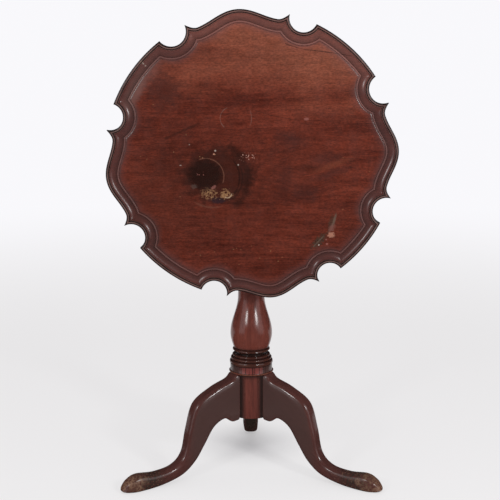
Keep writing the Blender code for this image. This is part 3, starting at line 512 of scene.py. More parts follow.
@dataclass(frozen=True)
class Scratch(Mark):
    """A thin line between two points."""

    start: Pair
    end: Pair
    width: float

    def mask(self, g: Graph, fx: Effects, place: Socket) -> Socket:
        """Return where the line lies."""
        feeds = {"Vector": place, "Start": on_field(self.start), "End": on_field(self.end)}
        feeds |= {"Width": self.width}
        return g.group(fx.line, feeds).outputs["Mask"]


@dataclass(frozen=True)
class Crescent(Mark):
    """A thin arc, on the side of its circle that it faces; its reach is the cosine of half its angle."""

    centre: Pair
    radius: float
    width: float
    facing: Pair
    reach: float = 0.5

    def mask(self, g: Graph, fx: Effects, place: Socket) -> Socket:
        """Return where the arc lies."""
        feeds = {"Vector": place, "Centre": on_field(self.centre), "Facing": on_field(self.facing)}
        feeds |= {"Radius": self.radius, "Width": self.width, "Reach": self.reach}
        return g.group(fx.arc, feeds).outputs["Mask"]


def on_field(point: Pair, depth: float = 0.0) -> Triple:
    """Return a point given across and up the upright field as a vector."""
    return point[0], depth, point[1]


@dataclass(frozen=True)
class Knot:
    """A knot that bends the grain of the top round it."""

    centre: Pair
    size: Pair
    pull: float


def open_material(name: str) -> tuple[bpy.types.Material, Graph, bpy.types.Node]:
    """Open a material, and return it with its graph and its shader."""
    material = bpy.data.materials.new(name)
    material.use_nodes = True
    return material, Graph(material.node_tree), material.node_tree.nodes["Principled BSDF"]


@dataclass(frozen=True)
class WoodFinish:
    """A finish on wood: the colours of its grain, its polish and how it shines."""

    name: str
    pale: Colour
    deep: Colour
    figure: float = 0.5
    streak: float = 0.5
    pores: float = 0.5
    gloss: float = 0.35
    specular: float = 0.5
    bump: float = 0.15
    bump_height: float = 0.0004
    grain: GrainAxis = GrainAxis.X
    # Colour of the darkened places, standing for soiling and for painted shade.
    grime_and_shade: Colour = (0.022, 0.010, 0.008, 1.0)
    # Colour of the worn places: unpolished wood on most pieces, the colour of painted highlights on the top.
    bare_and_highlight: Colour = (0.230, 0.095, 0.050, 1.0)

    def place(self, g: Graph) -> Socket:
        """Return the piece's coordinates with the grain along X."""
        parts = g.parts(g.object_place())
        return g.joined(*(parts[number] for number in self.grain.value))

    def wood(self, g: Graph, fx: Effects, place: Socket) -> bpy.types.Node:
        """Place the grain with this finish's colours."""
        feeds = {"Vector": place, "Pale": self.pale, "Deep": self.deep}
        feeds |= {"Figure": self.figure, "Streak": self.streak, "Pores": self.pores}
        return g.group(fx.grain, feeds)

    def masks(self, g: Graph, fx: Effects, place: Socket) -> tuple[Feed, Feed]:
        """Return where the polish is darkened by soiling and painted shade, and where it is worn through or
        carries a painted highlight.
        """
        return g.attribute("hollow"), g.attribute("crest")

    def colour(self, g: Graph, fx: Effects, place: Socket) -> tuple[Socket, Socket]:
        """Return the wood's colour and the height of its grain."""
        wood = self.wood(g, fx, place)
        return wood.outputs["Color"], wood.outputs["Height"]

    def roughness(self, g: Graph, fx: Effects, place: Socket, rough: Socket) -> Socket:
        """Return the roughness of the polish, changed where the finish needs it."""
        return rough

    def material(self, fx: Effects) -> bpy.types.Material:
        """Build the material.

        Args:
            fx: The shared shader groups.

        Returns:
            The material.
        """
        material, g, shader = open_material(self.name)
        place = self.place(g)
        colour, height = self.colour(g, fx, place)
        # Masks of darkening (soiling and painted shade) and of worn places (painted highlights on the top).
        dirt_and_shade, wear_and_highlight = self.masks(g, fx, place)
        feeds = {"Vector": place, "Color": colour, "Grime": self.grime_and_shade, "Bare": self.bare_and_highlight}
        polish = g.group(fx.polish, feeds | {"Dirt": dirt_and_shade, "Wear": wear_and_highlight, "Gloss": self.gloss})
        g.feed(shader.inputs["Base Color"], polish.outputs["Color"])
        g.feed(shader.inputs["Roughness"], self.roughness(g, fx, place, polish.outputs["Roughness"]))
        shader.inputs["Specular IOR Level"].default_value = self.specular
        feeds = {"Height": height, "Strength": self.bump, "Distance": self.bump_height}
        g.feed(shader.inputs["Normal"], g.add("ShaderNodeBump", feeds).outputs["Normal"])
        return material


@dataclass(frozen=True)
class TopFinish(WoodFinish):
    """The old polish of the top: its knots, its upper part lightened by a painted sheen, its wine-red rim
    that is partly a painted reflection, and its marks.
    """

    centre: Triple = ORIGIN
    knots: tuple[Knot, ...] = ()
    marks: tuple[Mark, ...] = ()
    # Painted sheen: the field is tinted, lightened and greyed towards the top and a little to the right,
    # standing in for a haze of light from above.
    painted_sheen_tint: Colour = (0.215, 0.062, 0.033, 1.0)
    sheen_share: float = 0.5
    sheen_way: Triple = (0.18, 0.0, 1.0)
    sheen_edge: Pair = (0.08, 0.27)
    sheen_waves: Triple = (5.0, 5.0, 12.0)
    sheen_swing: float = 0.30
    sheen_lift: Colour = (1.28, 1.45, 1.50, 1.0)
    mottle_waves: Triple = (34.0, 1.0, 120.0)
    mottle: Ramp = (0.33, 0.67, 0.88, 1.12)
    fleck_waves: Triple = (150.0, 1.0, 400.0)
    fleck: Ramp = (0.34, 0.66, 0.78, 1.22)
    # The rim's wine tint is partly its own darker polish and partly a painted reflection of the pale
    # surroundings; higher up the painted sheen lifts it further.
    rim_wine_and_sheen: Colour = (0.112, 0.050, 0.047, 1.0)
    rim_share: float = 0.62
    rim_sheen_lift: Colour = (1.42, 1.42, 1.46, 1.0)
    rim_grain: float = 0.1
    rim_gloss: float = -0.04
    crest_dull: Ramp = (0.0, 0.14, 0.0, 0.30)

    def place(self, g: Graph) -> Socket:
        """Return coordinates from the middle of the field; the grain runs across, along X."""
        return g.move("SUBTRACT", g.object_place(), self.centre)

    def colour(self, g: Graph, fx: Effects, place: Socket) -> tuple[Socket, Socket]:
        """Return the wood's colour, with its painted sheen and its marks, and the height of its grain."""
        bent = place
        for knot in self.knots:
            feeds = {"Vector": bent, "Centre": on_field(knot.centre), "Size": on_field(knot.size, 1.0)}
            bent = g.group(fx.knot, feeds | {"Pull": knot.pull}).outputs["Vector"]
        wood = self.wood(g, fx, bent)
        # Painted sheen rising towards the top with a cloudy edge; the variable fade carries it.
        up = g.measure("DOT_PRODUCT", place, self.sheen_way)
        light = g.swing(g.cloud(place, self.sheen_waves, 4.0), self.sheen_swing, up)
        fade = g.span(light, *self.sheen_edge)
        colour = g.mix(g.times(fade, self.sheen_share), wood.outputs["Color"], self.painted_sheen_tint)
        colour = g.mix(fade, colour, self.sheen_lift, "MULTIPLY")
        mottle = g.span(g.cloud(place, self.mottle_waves, 5.0), *self.mottle)
        tone = g.times(mottle, g.span(g.cloud(place, self.fleck_waves), *self.fleck))
        colour = g.mix(1.0, colour, g.joined(tone, tone, tone), "MULTIPLY")
        # The carved rim: its own darker polish with a painted reflection, lifted by the painted sheen.
        carve = g.attribute("carve")
        colour = g.mix(g.times(carve, self.rim_share), colour, self.rim_wine_and_sheen)
        colour = g.mix(g.times(carve, fade), colour, self.rim_sheen_lift, "MULTIPLY")
        for mark in self.marks:
            colour = mark.lay(g, fx, place, colour)
        return colour, g.times(wood.outputs["Height"], g.span(carve, 0.0, 1.0, 1.0, self.rim_grain))

    def roughness(self, g: Graph, fx: Effects, place: Socket, rough: Socket) -> Socket:
        """Return the roughness: glossier on the carved rim, dull on its crests, where highlights are painted.
        """
        rough = g.calc("ADD", rough, g.span(g.attribute("crest"), *self.crest_dull))
        return g.calc("MULTIPLY_ADD", g.attribute("carve"), self.rim_gloss, rough)


@dataclass(frozen=True)
class ColumnFinish(WoodFinish):
    """The polish of the column: red low on the bulb, dark on the rings, and a collar that is red in front and
    painted darker and greyer at its sides, a painted shade and sheen.
    """

    bulb: Pair = (0.2925, 0.3900)
    bulb_red: Colour = (0.205, 0.046, 0.027, 1.0)
    bulb_share: float = 0.35
    collar: Pair = (0.2385, 0.2535)
    collar_red: Colour = (0.330, 0.070, 0.060, 1.0)
    # Painted shade and sheen on the collar's sides, as they look from the front.
    collar_side_shade_and_sheen: Colour = (0.098, 0.056, 0.049, 1.0)
    collar_share: float = 0.8
    red_part: Pair = (0.033, 0.017)
    tick_waves: Triple = (9.0, 330.0, 330.0)
    tick_edge: Pair = (0.50, 0.64)
    tick_share: float = 0.75
    ring_dark: Colour = (0.030, 0.012, 0.010, 1.0)
    ring_share: float = 0.65
    ring_gloss: float = -0.08

    def colour(self, g: Graph, fx: Effects, place: Socket) -> tuple[Socket, Socket]:
        """Return the wood's colour, with the collar's fine ticks, and the height of its grain."""
        wood = self.wood(g, fx, place)
        up, across, _ = g.parts(place)
        foot, top = self.bulb
        swell = g.times(g.span(up, top, foot, 0.0, self.bulb_share), g.calc("GREATER_THAN", up, foot))
        colour = g.mix(swell, wood.outputs["Color"], self.bulb_red)
        band = g.between(up, *self.collar)
        # Red where the collar faces front and back; painted shade and sheen towards its sides.
        front = g.span(g.calc("ABSOLUTE", across), *self.red_part)
        tint = g.mix(front, self.collar_side_shade_and_sheen, self.collar_red)
        colour = g.mix(g.times(band, self.collar_share), colour, tint)
        colour = g.mix(g.times(self.ringed(g, up), self.ring_share), colour, self.ring_dark)
        ticks = g.span(g.cloud(place, self.tick_waves, 1.0), *self.tick_edge)
        return g.mix(g.times(band, ticks, self.tick_share), colour, self.grime_and_shade), wood.outputs["Height"]

    def ringed(self, g: Graph, up: Socket) -> Socket:
        """Return where the rings are, between the collar and the bulb."""
        return g.between(up, self.collar[1], self.bulb[0])

    def roughness(self, g: Graph, fx: Effects, place: Socket, rough: Socket) -> Socket:
        """Return the roughness, glossier on the rings."""
        return g.calc("MULTIPLY_ADD", self.ringed(g, g.parts(place)[0]), self.ring_gloss, rough)


@dataclass(frozen=True)
class LegFinish(WoodFinish):
    """The polish of the legs, worn down to unpolished wood at the toes, with a painted grey reflection on the
    upper flanks and painted shade on the side towards the column; it reads the leg's own coordinates.
    """

    slope: float = -38.0
    # Painted reflection: the flat flanks of the upper leg are greyed as if they mirrored the pale
    # surroundings.
    flank: Pair = (0.85, 0.98)
    flank_end: Pair = (0.195, 0.150)
    flank_sheen_grey: Colour = (0.074, 0.042, 0.037, 1.0)
    flank_sheen_share: float = 0.75
    # Painted shade on the side that faces the column.
    inner: Pair = (0.35, 0.85)
    inward_shade_share: float = 0.8
    patch_waves: float = 70.0
    patch_swing: float = 0.09
    fine_waves: float = 210.0
    toe: Pair = (0.276, 0.300)
    toe_share: float = 0.85
    toe_patches: Ramp = (0.38, 0.58, 0.1, 1.0)
    soiled: Triple = (0.215, 0.272, 0.345)
    soil_share: float = 0.85
    soil_patches: Pair = (0.36, 0.56)
    flecked: Triple = (0.190, 0.262, 0.330)
    fleck_share: float = 0.7
    fleck_scale: float = 230.0
    fleck_density: float = 0.45
    fleck_size: float = 0.75

    def place(self, g: Graph) -> Socket:
        """Return the leg's own coordinates, turned so that the grain follows its fall."""
        feeds = {"Vector": g.attribute("leg_place", "Vector"), "Angle": math.radians(self.slope)}
        return g.add("ShaderNodeVectorRotate", feeds, rotation_type="Y_AXIS").outputs["Vector"]

    def colour(self, g: Graph, fx: Effects, place: Socket) -> tuple[Socket, Socket]:
        """Return the wood's colour, greyer on the flat flanks with a painted reflection, and the height of
        its grain.
        """
        wood = self.wood(g, fx, place)
        out = g.parts(g.attribute("leg_place", "Vector"))[0]
        flat = g.span(g.attribute("flank"), *self.flank)
        flat = g.times(flat, g.span(out, *self.flank_end, 0.0, self.flank_sheen_share))
        return g.mix(flat, wood.outputs["Color"], self.flank_sheen_grey), wood.outputs["Height"]

    def masks(self, g: Graph, fx: Effects, place: Socket) -> tuple[Feed, Feed]:
        """Return the soiling near the floor together with painted shade on the side towards the column, and
        the worn toe.
        """
        own = g.attribute("leg_place", "Vector")
        out = g.parts(own)[0]
        reach = g.swing(g.cloud(own, self.patch_waves, 5.0), self.patch_swing, out)
        fine = g.cloud(own, self.fine_waves)
        toe = g.times(g.span(reach, *self.toe, 0.0, self.toe_share), g.span(fine, *self.toe_patches))
        feeds = {"Scale": self.fleck_scale, "Share": self.fleck_density, "Size": self.fleck_size}
        specks = g.group(fx.specks, feeds | {"Vector": own}).outputs["Mask"]
        flecks = g.times(specks, self.band(g, out, self.flecked, self.fleck_share))
        soil = g.times(g.span(fine, *self.soil_patches), self.band(g, out, self.soiled, self.soil_share))
        # Painted shade on the side facing the column.
        inner = g.span(g.attribute("inward"), *self.inner, 0.0, self.inward_shade_share)
        return g.calc("MAXIMUM", soil, inner), g.calc("MAXIMUM", toe, flecks)

    @staticmethod
    def band(g: Graph, along: Socket, limits: Sequence[float], share: float) -> Socket:
        """Return a band that rises to a share at its middle limit and falls away at its ends."""
        start, middle, end = limits
        return g.times(g.span(along, start, middle, 0.0, share), g.span(along, end, middle))


@dataclass(frozen=True)
class MetalFinish:
    """A finish on old metal: its bright and dull colours, how much is dull, and how it shines."""

    name: str
    bright: Colour
    dull: Colour
    amount: float
    gloss: float
    bump: float = 0.12
    bump_height: float = 0.0003

    def material(self, fx: Effects) -> bpy.types.Material:
        """Build the material.

        Args:
            fx: The shared shader groups.

        Returns:
            The material.
        """
        material, g, shader = open_material(self.name)
        feeds = {"Vector": g.object_place(), "Bright": self.bright, "Dull": self.dull}
        film = g.group(fx.tarnish, feeds | {"Amount": self.amount, "Gloss": self.gloss}).outputs
        g.feed(shader.inputs["Base Color"], film["Color"])
        g.feed(shader.inputs["Roughness"], film["Roughness"])
        shader.inputs["Metallic"].default_value = 1.0
        feeds = {"Height": film["Height"], "Strength": self.bump, "Distance": self.bump_height}
        g.feed(shader.inputs["Normal"], g.add("ShaderNodeBump", feeds).outputs["Normal"])
        return material


def add_object(name: str, data: bpy.types.ID | None) -> bpy.types.Object:
    """Put an object of its own name into the scene."""
    piece = bpy.data.objects.new(name, data)
    bpy.context.scene.collection.objects.link(piece)
    return piece


def baked(holder: bpy.types.Object) -> bpy.types.Mesh:
    """Return a plain mesh of an object with its modifiers applied."""
    bpy.context.view_layer.update()
    graph = bpy.context.evaluated_depsgraph_get()
    shown = holder.evaluated_get(graph)
    return bpy.data.meshes.new_from_object(shown, preserve_all_data_layers=True, depsgraph=graph)


def combine(holder: bpy.types.Object, shapes: Sequence[bpy.types.Mesh],
            operation: str = "DIFFERENCE") -> None:
    """Cut shapes out of an object's mesh one after another, or join them on."""
    for shape in shapes:
        cutter = add_object(shape.name, shape)
        step = holder.modifiers.new(shape.name, "BOOLEAN")
        step.operation = operation
        step.object = cutter
        mesh = baked(holder)
        holder.modifiers.clear()
        holder.data = mesh
        bpy.data.objects.remove(cutter, do_unlink=True)


def shade_round(mesh: bpy.types.Mesh, sharp_angle: float) -> bpy.types.Mesh:
    """Shade a mesh round up to an angle in degrees."""
    mesh.shade_smooth()
    mesh.set_sharp_from_angle(angle=math.radians(sharp_angle))
    return mesh


def tidy_mesh(mesh: bpy.types.Mesh, sharp_angle: float) -> bpy.types.Mesh:
    """Merge a mesh's doubles, turn its faces out and shade it round up to an angle in degrees."""
    work = bmesh.new()
    work.from_mesh(mesh)
    bmesh.ops.remove_doubles(work, verts=work.verts, dist=MERGE_DISTANCE)
    bmesh.ops.recalc_face_normals(work, faces=work.faces)
    work.to_mesh(mesh)
    work.free()
    return shade_round(mesh, sharp_angle)


def loft(name: str, rings: Sequence[Sequence[Vector]]) -> bpy.types.Mesh:
    """Join closed rings of points into a skin, and close it at both ends."""
    work = bmesh.new()
    loops = [[work.verts.new(point) for point in ring] for ring in rings]
    for lower, upper in zip(loops, loops[1:]):
        for index in range(len(lower)):
            work.faces.new((lower[index - 1], lower[index], upper[index], upper[index - 1]))
    work.faces.new(loops[0])
    work.faces.new(loops[-1])
    mesh = bpy.data.meshes.new(name)
    work.to_mesh(mesh)
    work.free()
    return tidy_mesh(mesh, LOFT_EDGE)


def box_mesh(name: str, low: Sequence[float], high: Sequence[float]) -> bpy.types.Mesh:
    """Make a box between two corners."""
    corners = [[Vector((across, deep, up)) for across, deep in
                ((low[0], low[1]), (high[0], low[1]), (high[0], high[1]), (low[0], high[1]))]
               for up in (low[2], high[2])]
    return loft(name, corners)


def blend(first: float, second: float, share: float) -> float:
    """Return the value at a share of the way from the first to the second."""
    return first + (second - first) * share


def smooth_value(values: Sequence[float], place: float) -> float:
    """Return a smooth curve's value between listed values, by a Catmull-Rom spline."""
    last = len(values) - 1
    index = min(int(place), last - 1)
    share = place - index
    first, second = values[index], values[index + 1]
    lean_first = (second - values[max(index - 1, 0)]) / 2
    lean_second = (values[min(index + 2, last)] - first) / 2
    rise = share * share * (3 - 2 * share)
    return (blend(first, second, rise) + lean_first * share * (1 - share) ** 2
            + lean_second * share * share * (share - 1))


def enlist(piece: bpy.types.Object, body: str, slot: str, *nodes: str) -> None:
    """Set a piece on its body, hide the nodes it stands for, and report it."""
    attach(piece, body)
    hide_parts(*nodes)
    LOG.info("%s rides on %s with %d faces", piece.name, body, len(piece.data.polygons))


@dataclass(frozen=True)
class EdgePoint:
    """A point of a moulding: its run from the axis or the edge, its height, its darkening (painted shade with
    some soiling) and its worn share (a painted highlight on the top's rim).
    """

    run: float
    height: float
    # Darkening: painted shade in quirks, grooves and under edges, with some soiling.
    hollow: float = 0.0
    # Worn share: on the top's moulding a painted highlight.
    crest: float = 0.0


class GeometryMaker(TreeMaker):
    """A geometry node tree in the making, which then makes meshes."""

    def __init__(self, name: str, inputs: dict[str, str]) -> None:
        """Open a tree.

        Args:
            name: The tree's name.
            inputs: Its inputs' names and kinds, the object's own geometry first.
        """
        inputs = inputs | {"Material": "Material"}
        super().__init__(name, "GeometryNodeTree", inputs, {"Made": "Geometry"})

    def end(self, shape: Socket) -> None:
        """End the tree: make a plain mesh of a shape, and give it its material."""
        plain = self.graph.add("GeometryNodeRealizeInstances", {0: shape}).outputs[0]
        feeds = {"Geometry": plain, "Material": self.given["Material"]}
        self.graph.feed(self.made["Made"], self.graph.add("GeometryNodeSetMaterial", feeds).outputs[0])

    def run(self, source: bpy.types.Mesh, values: dict[str, object]) -> bpy.types.Mesh:
        """Return the mesh that the tree makes of another, with values for its inputs."""
        holder = add_object(f"{source.name}_source", source)
        step = holder.modifiers.new(self.tree.name, "NODES")
        step.node_group = self.tree
        for label, value in values.items():
            step[self.keys[label]] = value
        mesh = baked(holder)
        bpy.data.objects.remove(holder, do_unlink=True)
        return mesh


class Lathe(GeometryMaker):
    """The node tree that turns an outline about the upright axis through the origin."""

    # Masks carried from the outline: darkening by painted shade and soiling, and the worn share.
    LABELS = ("hollow", "crest")

    def __init__(self) -> None:
        """Build the tree."""
        super().__init__("turning", {"Outline": "Geometry", "Segments": "Int"})
        g, given = self.graph, self.given
        outline = given["Outline"]
        size = g.add("GeometryNodeAttributeDomainSize", {0: outline}, component="MESH")
        count = size.outputs["Point Count"]
        columns = g.calc("ADD", given["Segments"], 1.0)
        grid = g.add("GeometryNodeMeshGrid", {"Vertices X": columns, "Vertices Y": count}).outputs["Mesh"]
        index = g.add("GeometryNodeInputIndex").outputs[0]
        step = g.calc("FLOOR", g.calc("DIVIDE", g.calc("ADD", index, 0.5), count))
        point = g.calc("SUBTRACT", index, g.times(step, count))
        turn = g.times(g.calc("DIVIDE", step, given["Segments"]), math.tau)
        place = g.add("GeometryNodeInputPosition").outputs[0]
        radius, _, height = g.parts(self._sampled(g, outline, place, point, "FLOAT_VECTOR"))
        across = g.times(radius, g.calc("COSINE", turn))
        along = g.times(radius, g.calc("SINE", turn))
        feeds = {"Geometry": grid, "Position": g.joined(across, along, height)}
        mesh = g.add("GeometryNodeSetPosition", feeds).outputs[0]
        for label in self.LABELS:
            read = g.add("GeometryNodeInputNamedAttribute", {"Name": label}, data_type="FLOAT")
            value = self._sampled(g, outline, read.outputs["Attribute"], point, "FLOAT")
            feeds = {"Geometry": mesh, "Name": label, "Value": value}
            store = g.add("GeometryNodeStoreNamedAttribute", feeds, data_type="FLOAT", domain="POINT")
            mesh = store.outputs[0]
        feeds = {"Geometry": mesh, "Distance": MERGE_DISTANCE}
        self.end(g.add("GeometryNodeMergeByDistance", feeds).outputs[0])

    @staticmethod
    def _sampled(g: Graph, source: Socket, value: Socket, index: Socket, kind: str) -> Socket:
        """Return a value of the outline at one of its points."""
        feeds = {"Geometry": source, "Value": value, "Index": index}
        return g.add("GeometryNodeSampleIndex", feeds, data_type=kind, domain="POINT").outputs[0]

    def turned(self, name: str, points: Sequence[EdgePoint], segments: int,
               material: bpy.types.Material | None = None) -> bpy.types.Mesh:
        """Turn an outline into a mesh.

        Args:
            name: The mesh's name.
            points: The outline from the top down, each point's run being its radius.
            segments: The number of steps round the axis.
            material: What it is made of, where that is not set later.

        Returns:
            A closed mesh with the outline's painted shade and soiling, and its worn share, on its points.
        """
        outline = bpy.data.meshes.new(name)
        edges = [(index, index + 1) for index in range(len(points) - 1)]
        outline.from_pydata([(point.run, 0.0, point.height) for point in points], edges, [])
        for label in self.LABELS:
            layer = outline.attributes.new(label, "FLOAT", "POINT")
            layer.data.foreach_set("value", [getattr(point, label) for point in points])
        return tidy_mesh(self.run(outline, {"Segments": segments, "Material": material}), TURNED_EDGE)


@dataclass(frozen=True)
class Section:
    """A section of the carved rim: its kind, and its middle and span in degrees, anticlockwise from +X."""

    kind: SectionKind
    middle: float
    span: float


@dataclass(frozen=True)
class Notch:
    """The round notch between two sections of the rim."""

    centre: Vector
    outward: Vector
    radius: float


@dataclass(frozen=True)
class Unevenness:
    """A layer of noise on the field: its waves to the metre across and up, its level and its height."""

    waves: Pair
    level: float
    height: float

    def at(self, across: float, up: float) -> float:
        """Return how far it rises at a point of the field."""
        spot = Vector((across * self.waves[0], up * self.waves[1], self.level))
        return noise.noise(spot) * self.height


@dataclass
class PiecrustTop:
    """The dished top, carved from one board: its sizes, its carved sections and its two faces' finishes."""

    finish: TopFinish
    under_finish: WoodFinish
    radius: float = 0.3195
    cross_grain: float = 0.988
    rim: float = 0.022
    field: float = 0.013
    notch_depth: float = 0.028
    crest: float = 0.0016
    dip: float = 0.0160
    horn_start: float = 0.79
    bevel: Pair = (0.010, 0.005)
    bead: float = 0.0065
    fillet: Pair = (0.0015, 0.0020)
    cove: float = 0.0155
    inner_bead: Pair = (0.0045, 0.0018)
    bead_rise: float = 0.0028
    bead_flanks: Pair = (0.0029, 0.0024)
    eased: float = 0.0005
    finest: float = 0.0001
    round_steps: int = 6
    cove_steps: int = 14
    bead_steps: int = 9
    notch_steps: int = 24
    field_rings: int = 64
    under_rings: int = 6
    settle_rings: int = 4
    # How far the carved rim's finish, with its wine tint and painted reflection, reaches into the field.
    wine_share: float = 0.7
    wine_rings: int = 5
    warp: Unevenness = Unevenness((5.0, 14.0), 0.0, 0.00022)
    ripple: Unevenness = Unevenness((30.0, 60.0), 3.0, 0.00004)
    pits: Unevenness = Unevenness((120.0, 120.0), 7.0, 0.00025)
    char_middle: Pair = (-0.105, -0.048)
    char_size: float = 0.05
    char_depth: float = 0.0004
    sections: tuple[Section, ...] = (
        Section(SectionKind.SERPENTINE, 2.4, 38.6),
        Section(SectionKind.PLAIN, 48.7, 30.8),
        Section(SectionKind.SERPENTINE, 95.9, 41.4),
        Section(SectionKind.PLAIN, 143.5, 30.6),
        Section(SectionKind.SERPENTINE, 189.1, 39.4),
        Section(SectionKind.PLAIN, 234.7, 30.0),
        Section(SectionKind.SERPENTINE, 279.1, 38.1),
        Section(SectionKind.PLAIN, 320.3, 24.2),
    )

    def edge_radius(self, kind: SectionKind, share: float) -> float:
        """Return the rim's radius at a share of a section, from -1 at its start to 1 at its end."""
        reach = abs(share)
        if kind is SectionKind.PLAIN:
            return self.radius
        if reach <= self.horn_start:
            wave = math.sin(math.pi * reach / (2 * self.horn_start)) ** 2
            return self.radius + blend(self.crest, -self.dip, wave)
        horn = (reach - self.horn_start) / (1 - self.horn_start)
        return self.radius - self.dip * (1 - horn ** 2)

    def edge_point(self, section: Section, share: float, inset: float) -> Vector:
        """Return a point of a section's edge, moved inward by an inset."""
        def edge(place: float) -> Vector:
            """Return a point of the edge itself."""
            angle = math.radians(section.middle + place * section.span / 2)
            return self.edge_radius(section.kind, place) * Vector((math.cos(angle), math.sin(angle)))

        along = (edge(share + TANGENT_STEP) - edge(share - TANGENT_STEP)).normalized()
        return edge(share) + inset * Vector((-along.y, along.x))

    def notch(self, section: Section, following: Section) -> Notch:
        """Return the notch between two sections."""
        start = self.edge_point(section, 1.0, 0.0)
        end = self.edge_point(following, -1.0, 0.0)
        middle = (start + end) / 2
        half_chord = (end - start).length / 2
        radius = (half_chord ** 2 + self.notch_depth ** 2) / (2 * self.notch_depth)
        outward = middle.normalized()
        return Notch(middle + (radius - self.notch_depth) * outward, outward, radius)

    def section_end(self, section: Section, notch: Notch, inset: float, end: float) -> float:
        """Return the share at which a section, moved inward, meets a notch grown by the same inset."""
        clear, past = 0.0, end
        for _ in range(MEETING_STEPS):
            share = (clear + past) / 2
            if (self.edge_point(section, share, inset) - notch.centre).length > notch.radius + inset:
                clear = share
            else:
                past = share
        return clear

    def ring(self, inset: float) -> list[Vector]:
        """Return one closed line of the carved rim, at an inset from its edge."""
        following = self.sections[1:] + self.sections[:1]
        notches = [self.notch(section, after) for section, after in zip(self.sections, following)]
        ring: list[Vector] = []
        for index, section in enumerate(self.sections):
            notch = notches[index]
            start = self.section_end(section, notches[index - 1], inset, -1.0)
            end = self.section_end(section, notch, inset, 1.0)
            steps = section.kind.value
            shares = [blend(start, end, step / steps) for step in range(steps + 1)]
            ring += [self.edge_point(section, share, inset) for share in shares]
            after = following[index]
            landing = self.edge_point(after, self.section_end(after, notch, inset, -1.0), inset)
            sideways = Vector((-notch.outward.y, notch.outward.x))
            arms = [corner - notch.centre for corner in (ring[-1], landing)]
            turns = [math.atan2(arm.dot(sideways), -arm.dot(notch.outward)) for arm in arms]
            for step in range(1, self.notch_steps):
                turn = blend(turns[0], turns[1], step / self.notch_steps)
                arm = math.sin(turn) * sideways - math.cos(turn) * notch.outward
                ring.append(notch.centre + (notch.radius + inset) * arm)
        return [Vector((point.x, point.y * self.cross_grain)) for point in ring]

    def profile(self) -> list[EdgePoint]:
        """Return the rim's moulding from the underside, over the bead and down the cove, to the field, with
        painted shade in its dark lines and painted highlights on its crests.
        """
        soft, fine = self.eased, self.finest
        fillet_height = self.rim - self.fillet[1]
        bead_foot = self.rim - self.bead_rise
        points = [
            # Third value of each point: painted shade on the outer face, the fillet, the cove's foot and
            # round the inner bead; fourth: painted highlights on the bead's crown, the fillet's arris and the
            # inner bead.
            EdgePoint(self.bevel[0], 0.0),
            EdgePoint(soft, self.bevel[1] - soft / 2, 0.5),
            EdgePoint(0.0, self.bevel[1] + soft, 1.0),
            EdgePoint(0.0, bead_foot, 1.0),
        ]
        outer, inner = self.bead_flanks[0], self.bead - self.bead_flanks[1]
        points += self.quarter(0.0, outer, bead_foot, self.rim, rising=True)
        points += self.quarter(inner, self.bead - fine, fillet_height - soft, self.rim, rising=False)
        arris = self.bead + self.fillet[0]
        points += [
            EdgePoint(self.bead + 2 * fine, fillet_height - 6 * fine, 1.0),
            EdgePoint(arris - 6 * fine, fillet_height - 5 * fine, 1.0),
            EdgePoint(arris - 2 * fine, fillet_height, 0.2, 0.5),
            EdgePoint(arris + fine, fillet_height, 0.1, 0.5),
        ]
        for step in range(1, self.cove_steps + 1):
            share = step / self.cove_steps
            turn = math.pi / 2 * share
            run = arris + self.cove * (1 - math.cos(turn))
            height = self.field + (fillet_height - self.field) * (1 - math.sin(turn))
            points.append(EdgePoint(run, height, 0.15 + 0.45 * share ** 3))
        start = arris + self.cove
        points.append(EdgePoint(start + 2 * fine, self.field - 4 * fine, 0.8))
        for step in range(1, self.bead_steps):
            turn = math.pi * step / self.bead_steps
            swell = math.sin(turn)
            run = start + 3 * fine + self.inner_bead[0] * (1 - math.cos(turn)) / 2
            height = self.field + self.inner_bead[1] * swell
            points.append(EdgePoint(run, height, 0.4 * (1 - swell), 0.14 * swell ** 3))
        end = start + self.inner_bead[0] + 4 * fine
        points.append(EdgePoint(end, self.field - 3 * fine, 0.6))
        points.append(EdgePoint(end + 9 * fine, self.field, 0.25))
        return points

    def quarter(self, start: float, end: float, low: float, high: float, rising: bool) -> list[EdgePoint]:
        """Return a quarter-round of the rim's bead, rising to its crown or falling from it; it is darkened by
        painted shade, with a painted highlight at the crown of its falling side.
        """
        points = []
        for step in range(1 if rising else 0, self.round_steps + 1):
            turn = math.pi / 2 * step / self.round_steps
            run = blend(start, end, 1 - math.cos(turn)) if rising else blend(start, end, math.sin(turn))
            lift = math.sin(turn) if rising else math.cos(turn)
            # Painted highlight at the crown, painted shade elsewhere.
            worn_and_glinting = 0.0 if rising else lift ** 12
            points.append(EdgePoint(run, blend(low, high, lift), 1.0 - 0.8 * worn_and_glinting, 0.7 * worn_and_glinting))
        return points

    def relief(self, across: float, up: float) -> float:
        """Return how far the old field rises or sinks at a point: it is warped, and charred in one place."""
        away = math.dist((across, up), self.char_middle) / self.char_size
        rise = self.warp.at(across, up) + self.ripple.at(across, up)
        return rise + math.exp(-away ** 2) * (self.pits.at(across, up) - self.char_depth)

    def mesh(self) -> bpy.types.Mesh:
        """Carve the top as one closed skin: underside, moulded rim and dished field."""
        work = bmesh.new()
        layers = {label: work.verts.layers.float.new(label) for label in ("carve", "hollow", "crest")}
        underside = TOP_MIDDLE[1] + self.field

        def row(ring: Sequence[Vector], heights: Sequence[float], carve: float, point: EdgePoint) -> list:
            """Add a closed line of points with its carving, dirt and wear."""
            verts = []
            for place, height in zip(ring, heights):
                vert = work.verts.new((place.x, underside - height, TOP_MIDDLE[2] + place.y))
                for label, value in (("carve", carve), ("hollow", point.hollow), ("crest", point.crest)):
                    vert[layers[label]] = value
                verts.append(vert)
            return verts

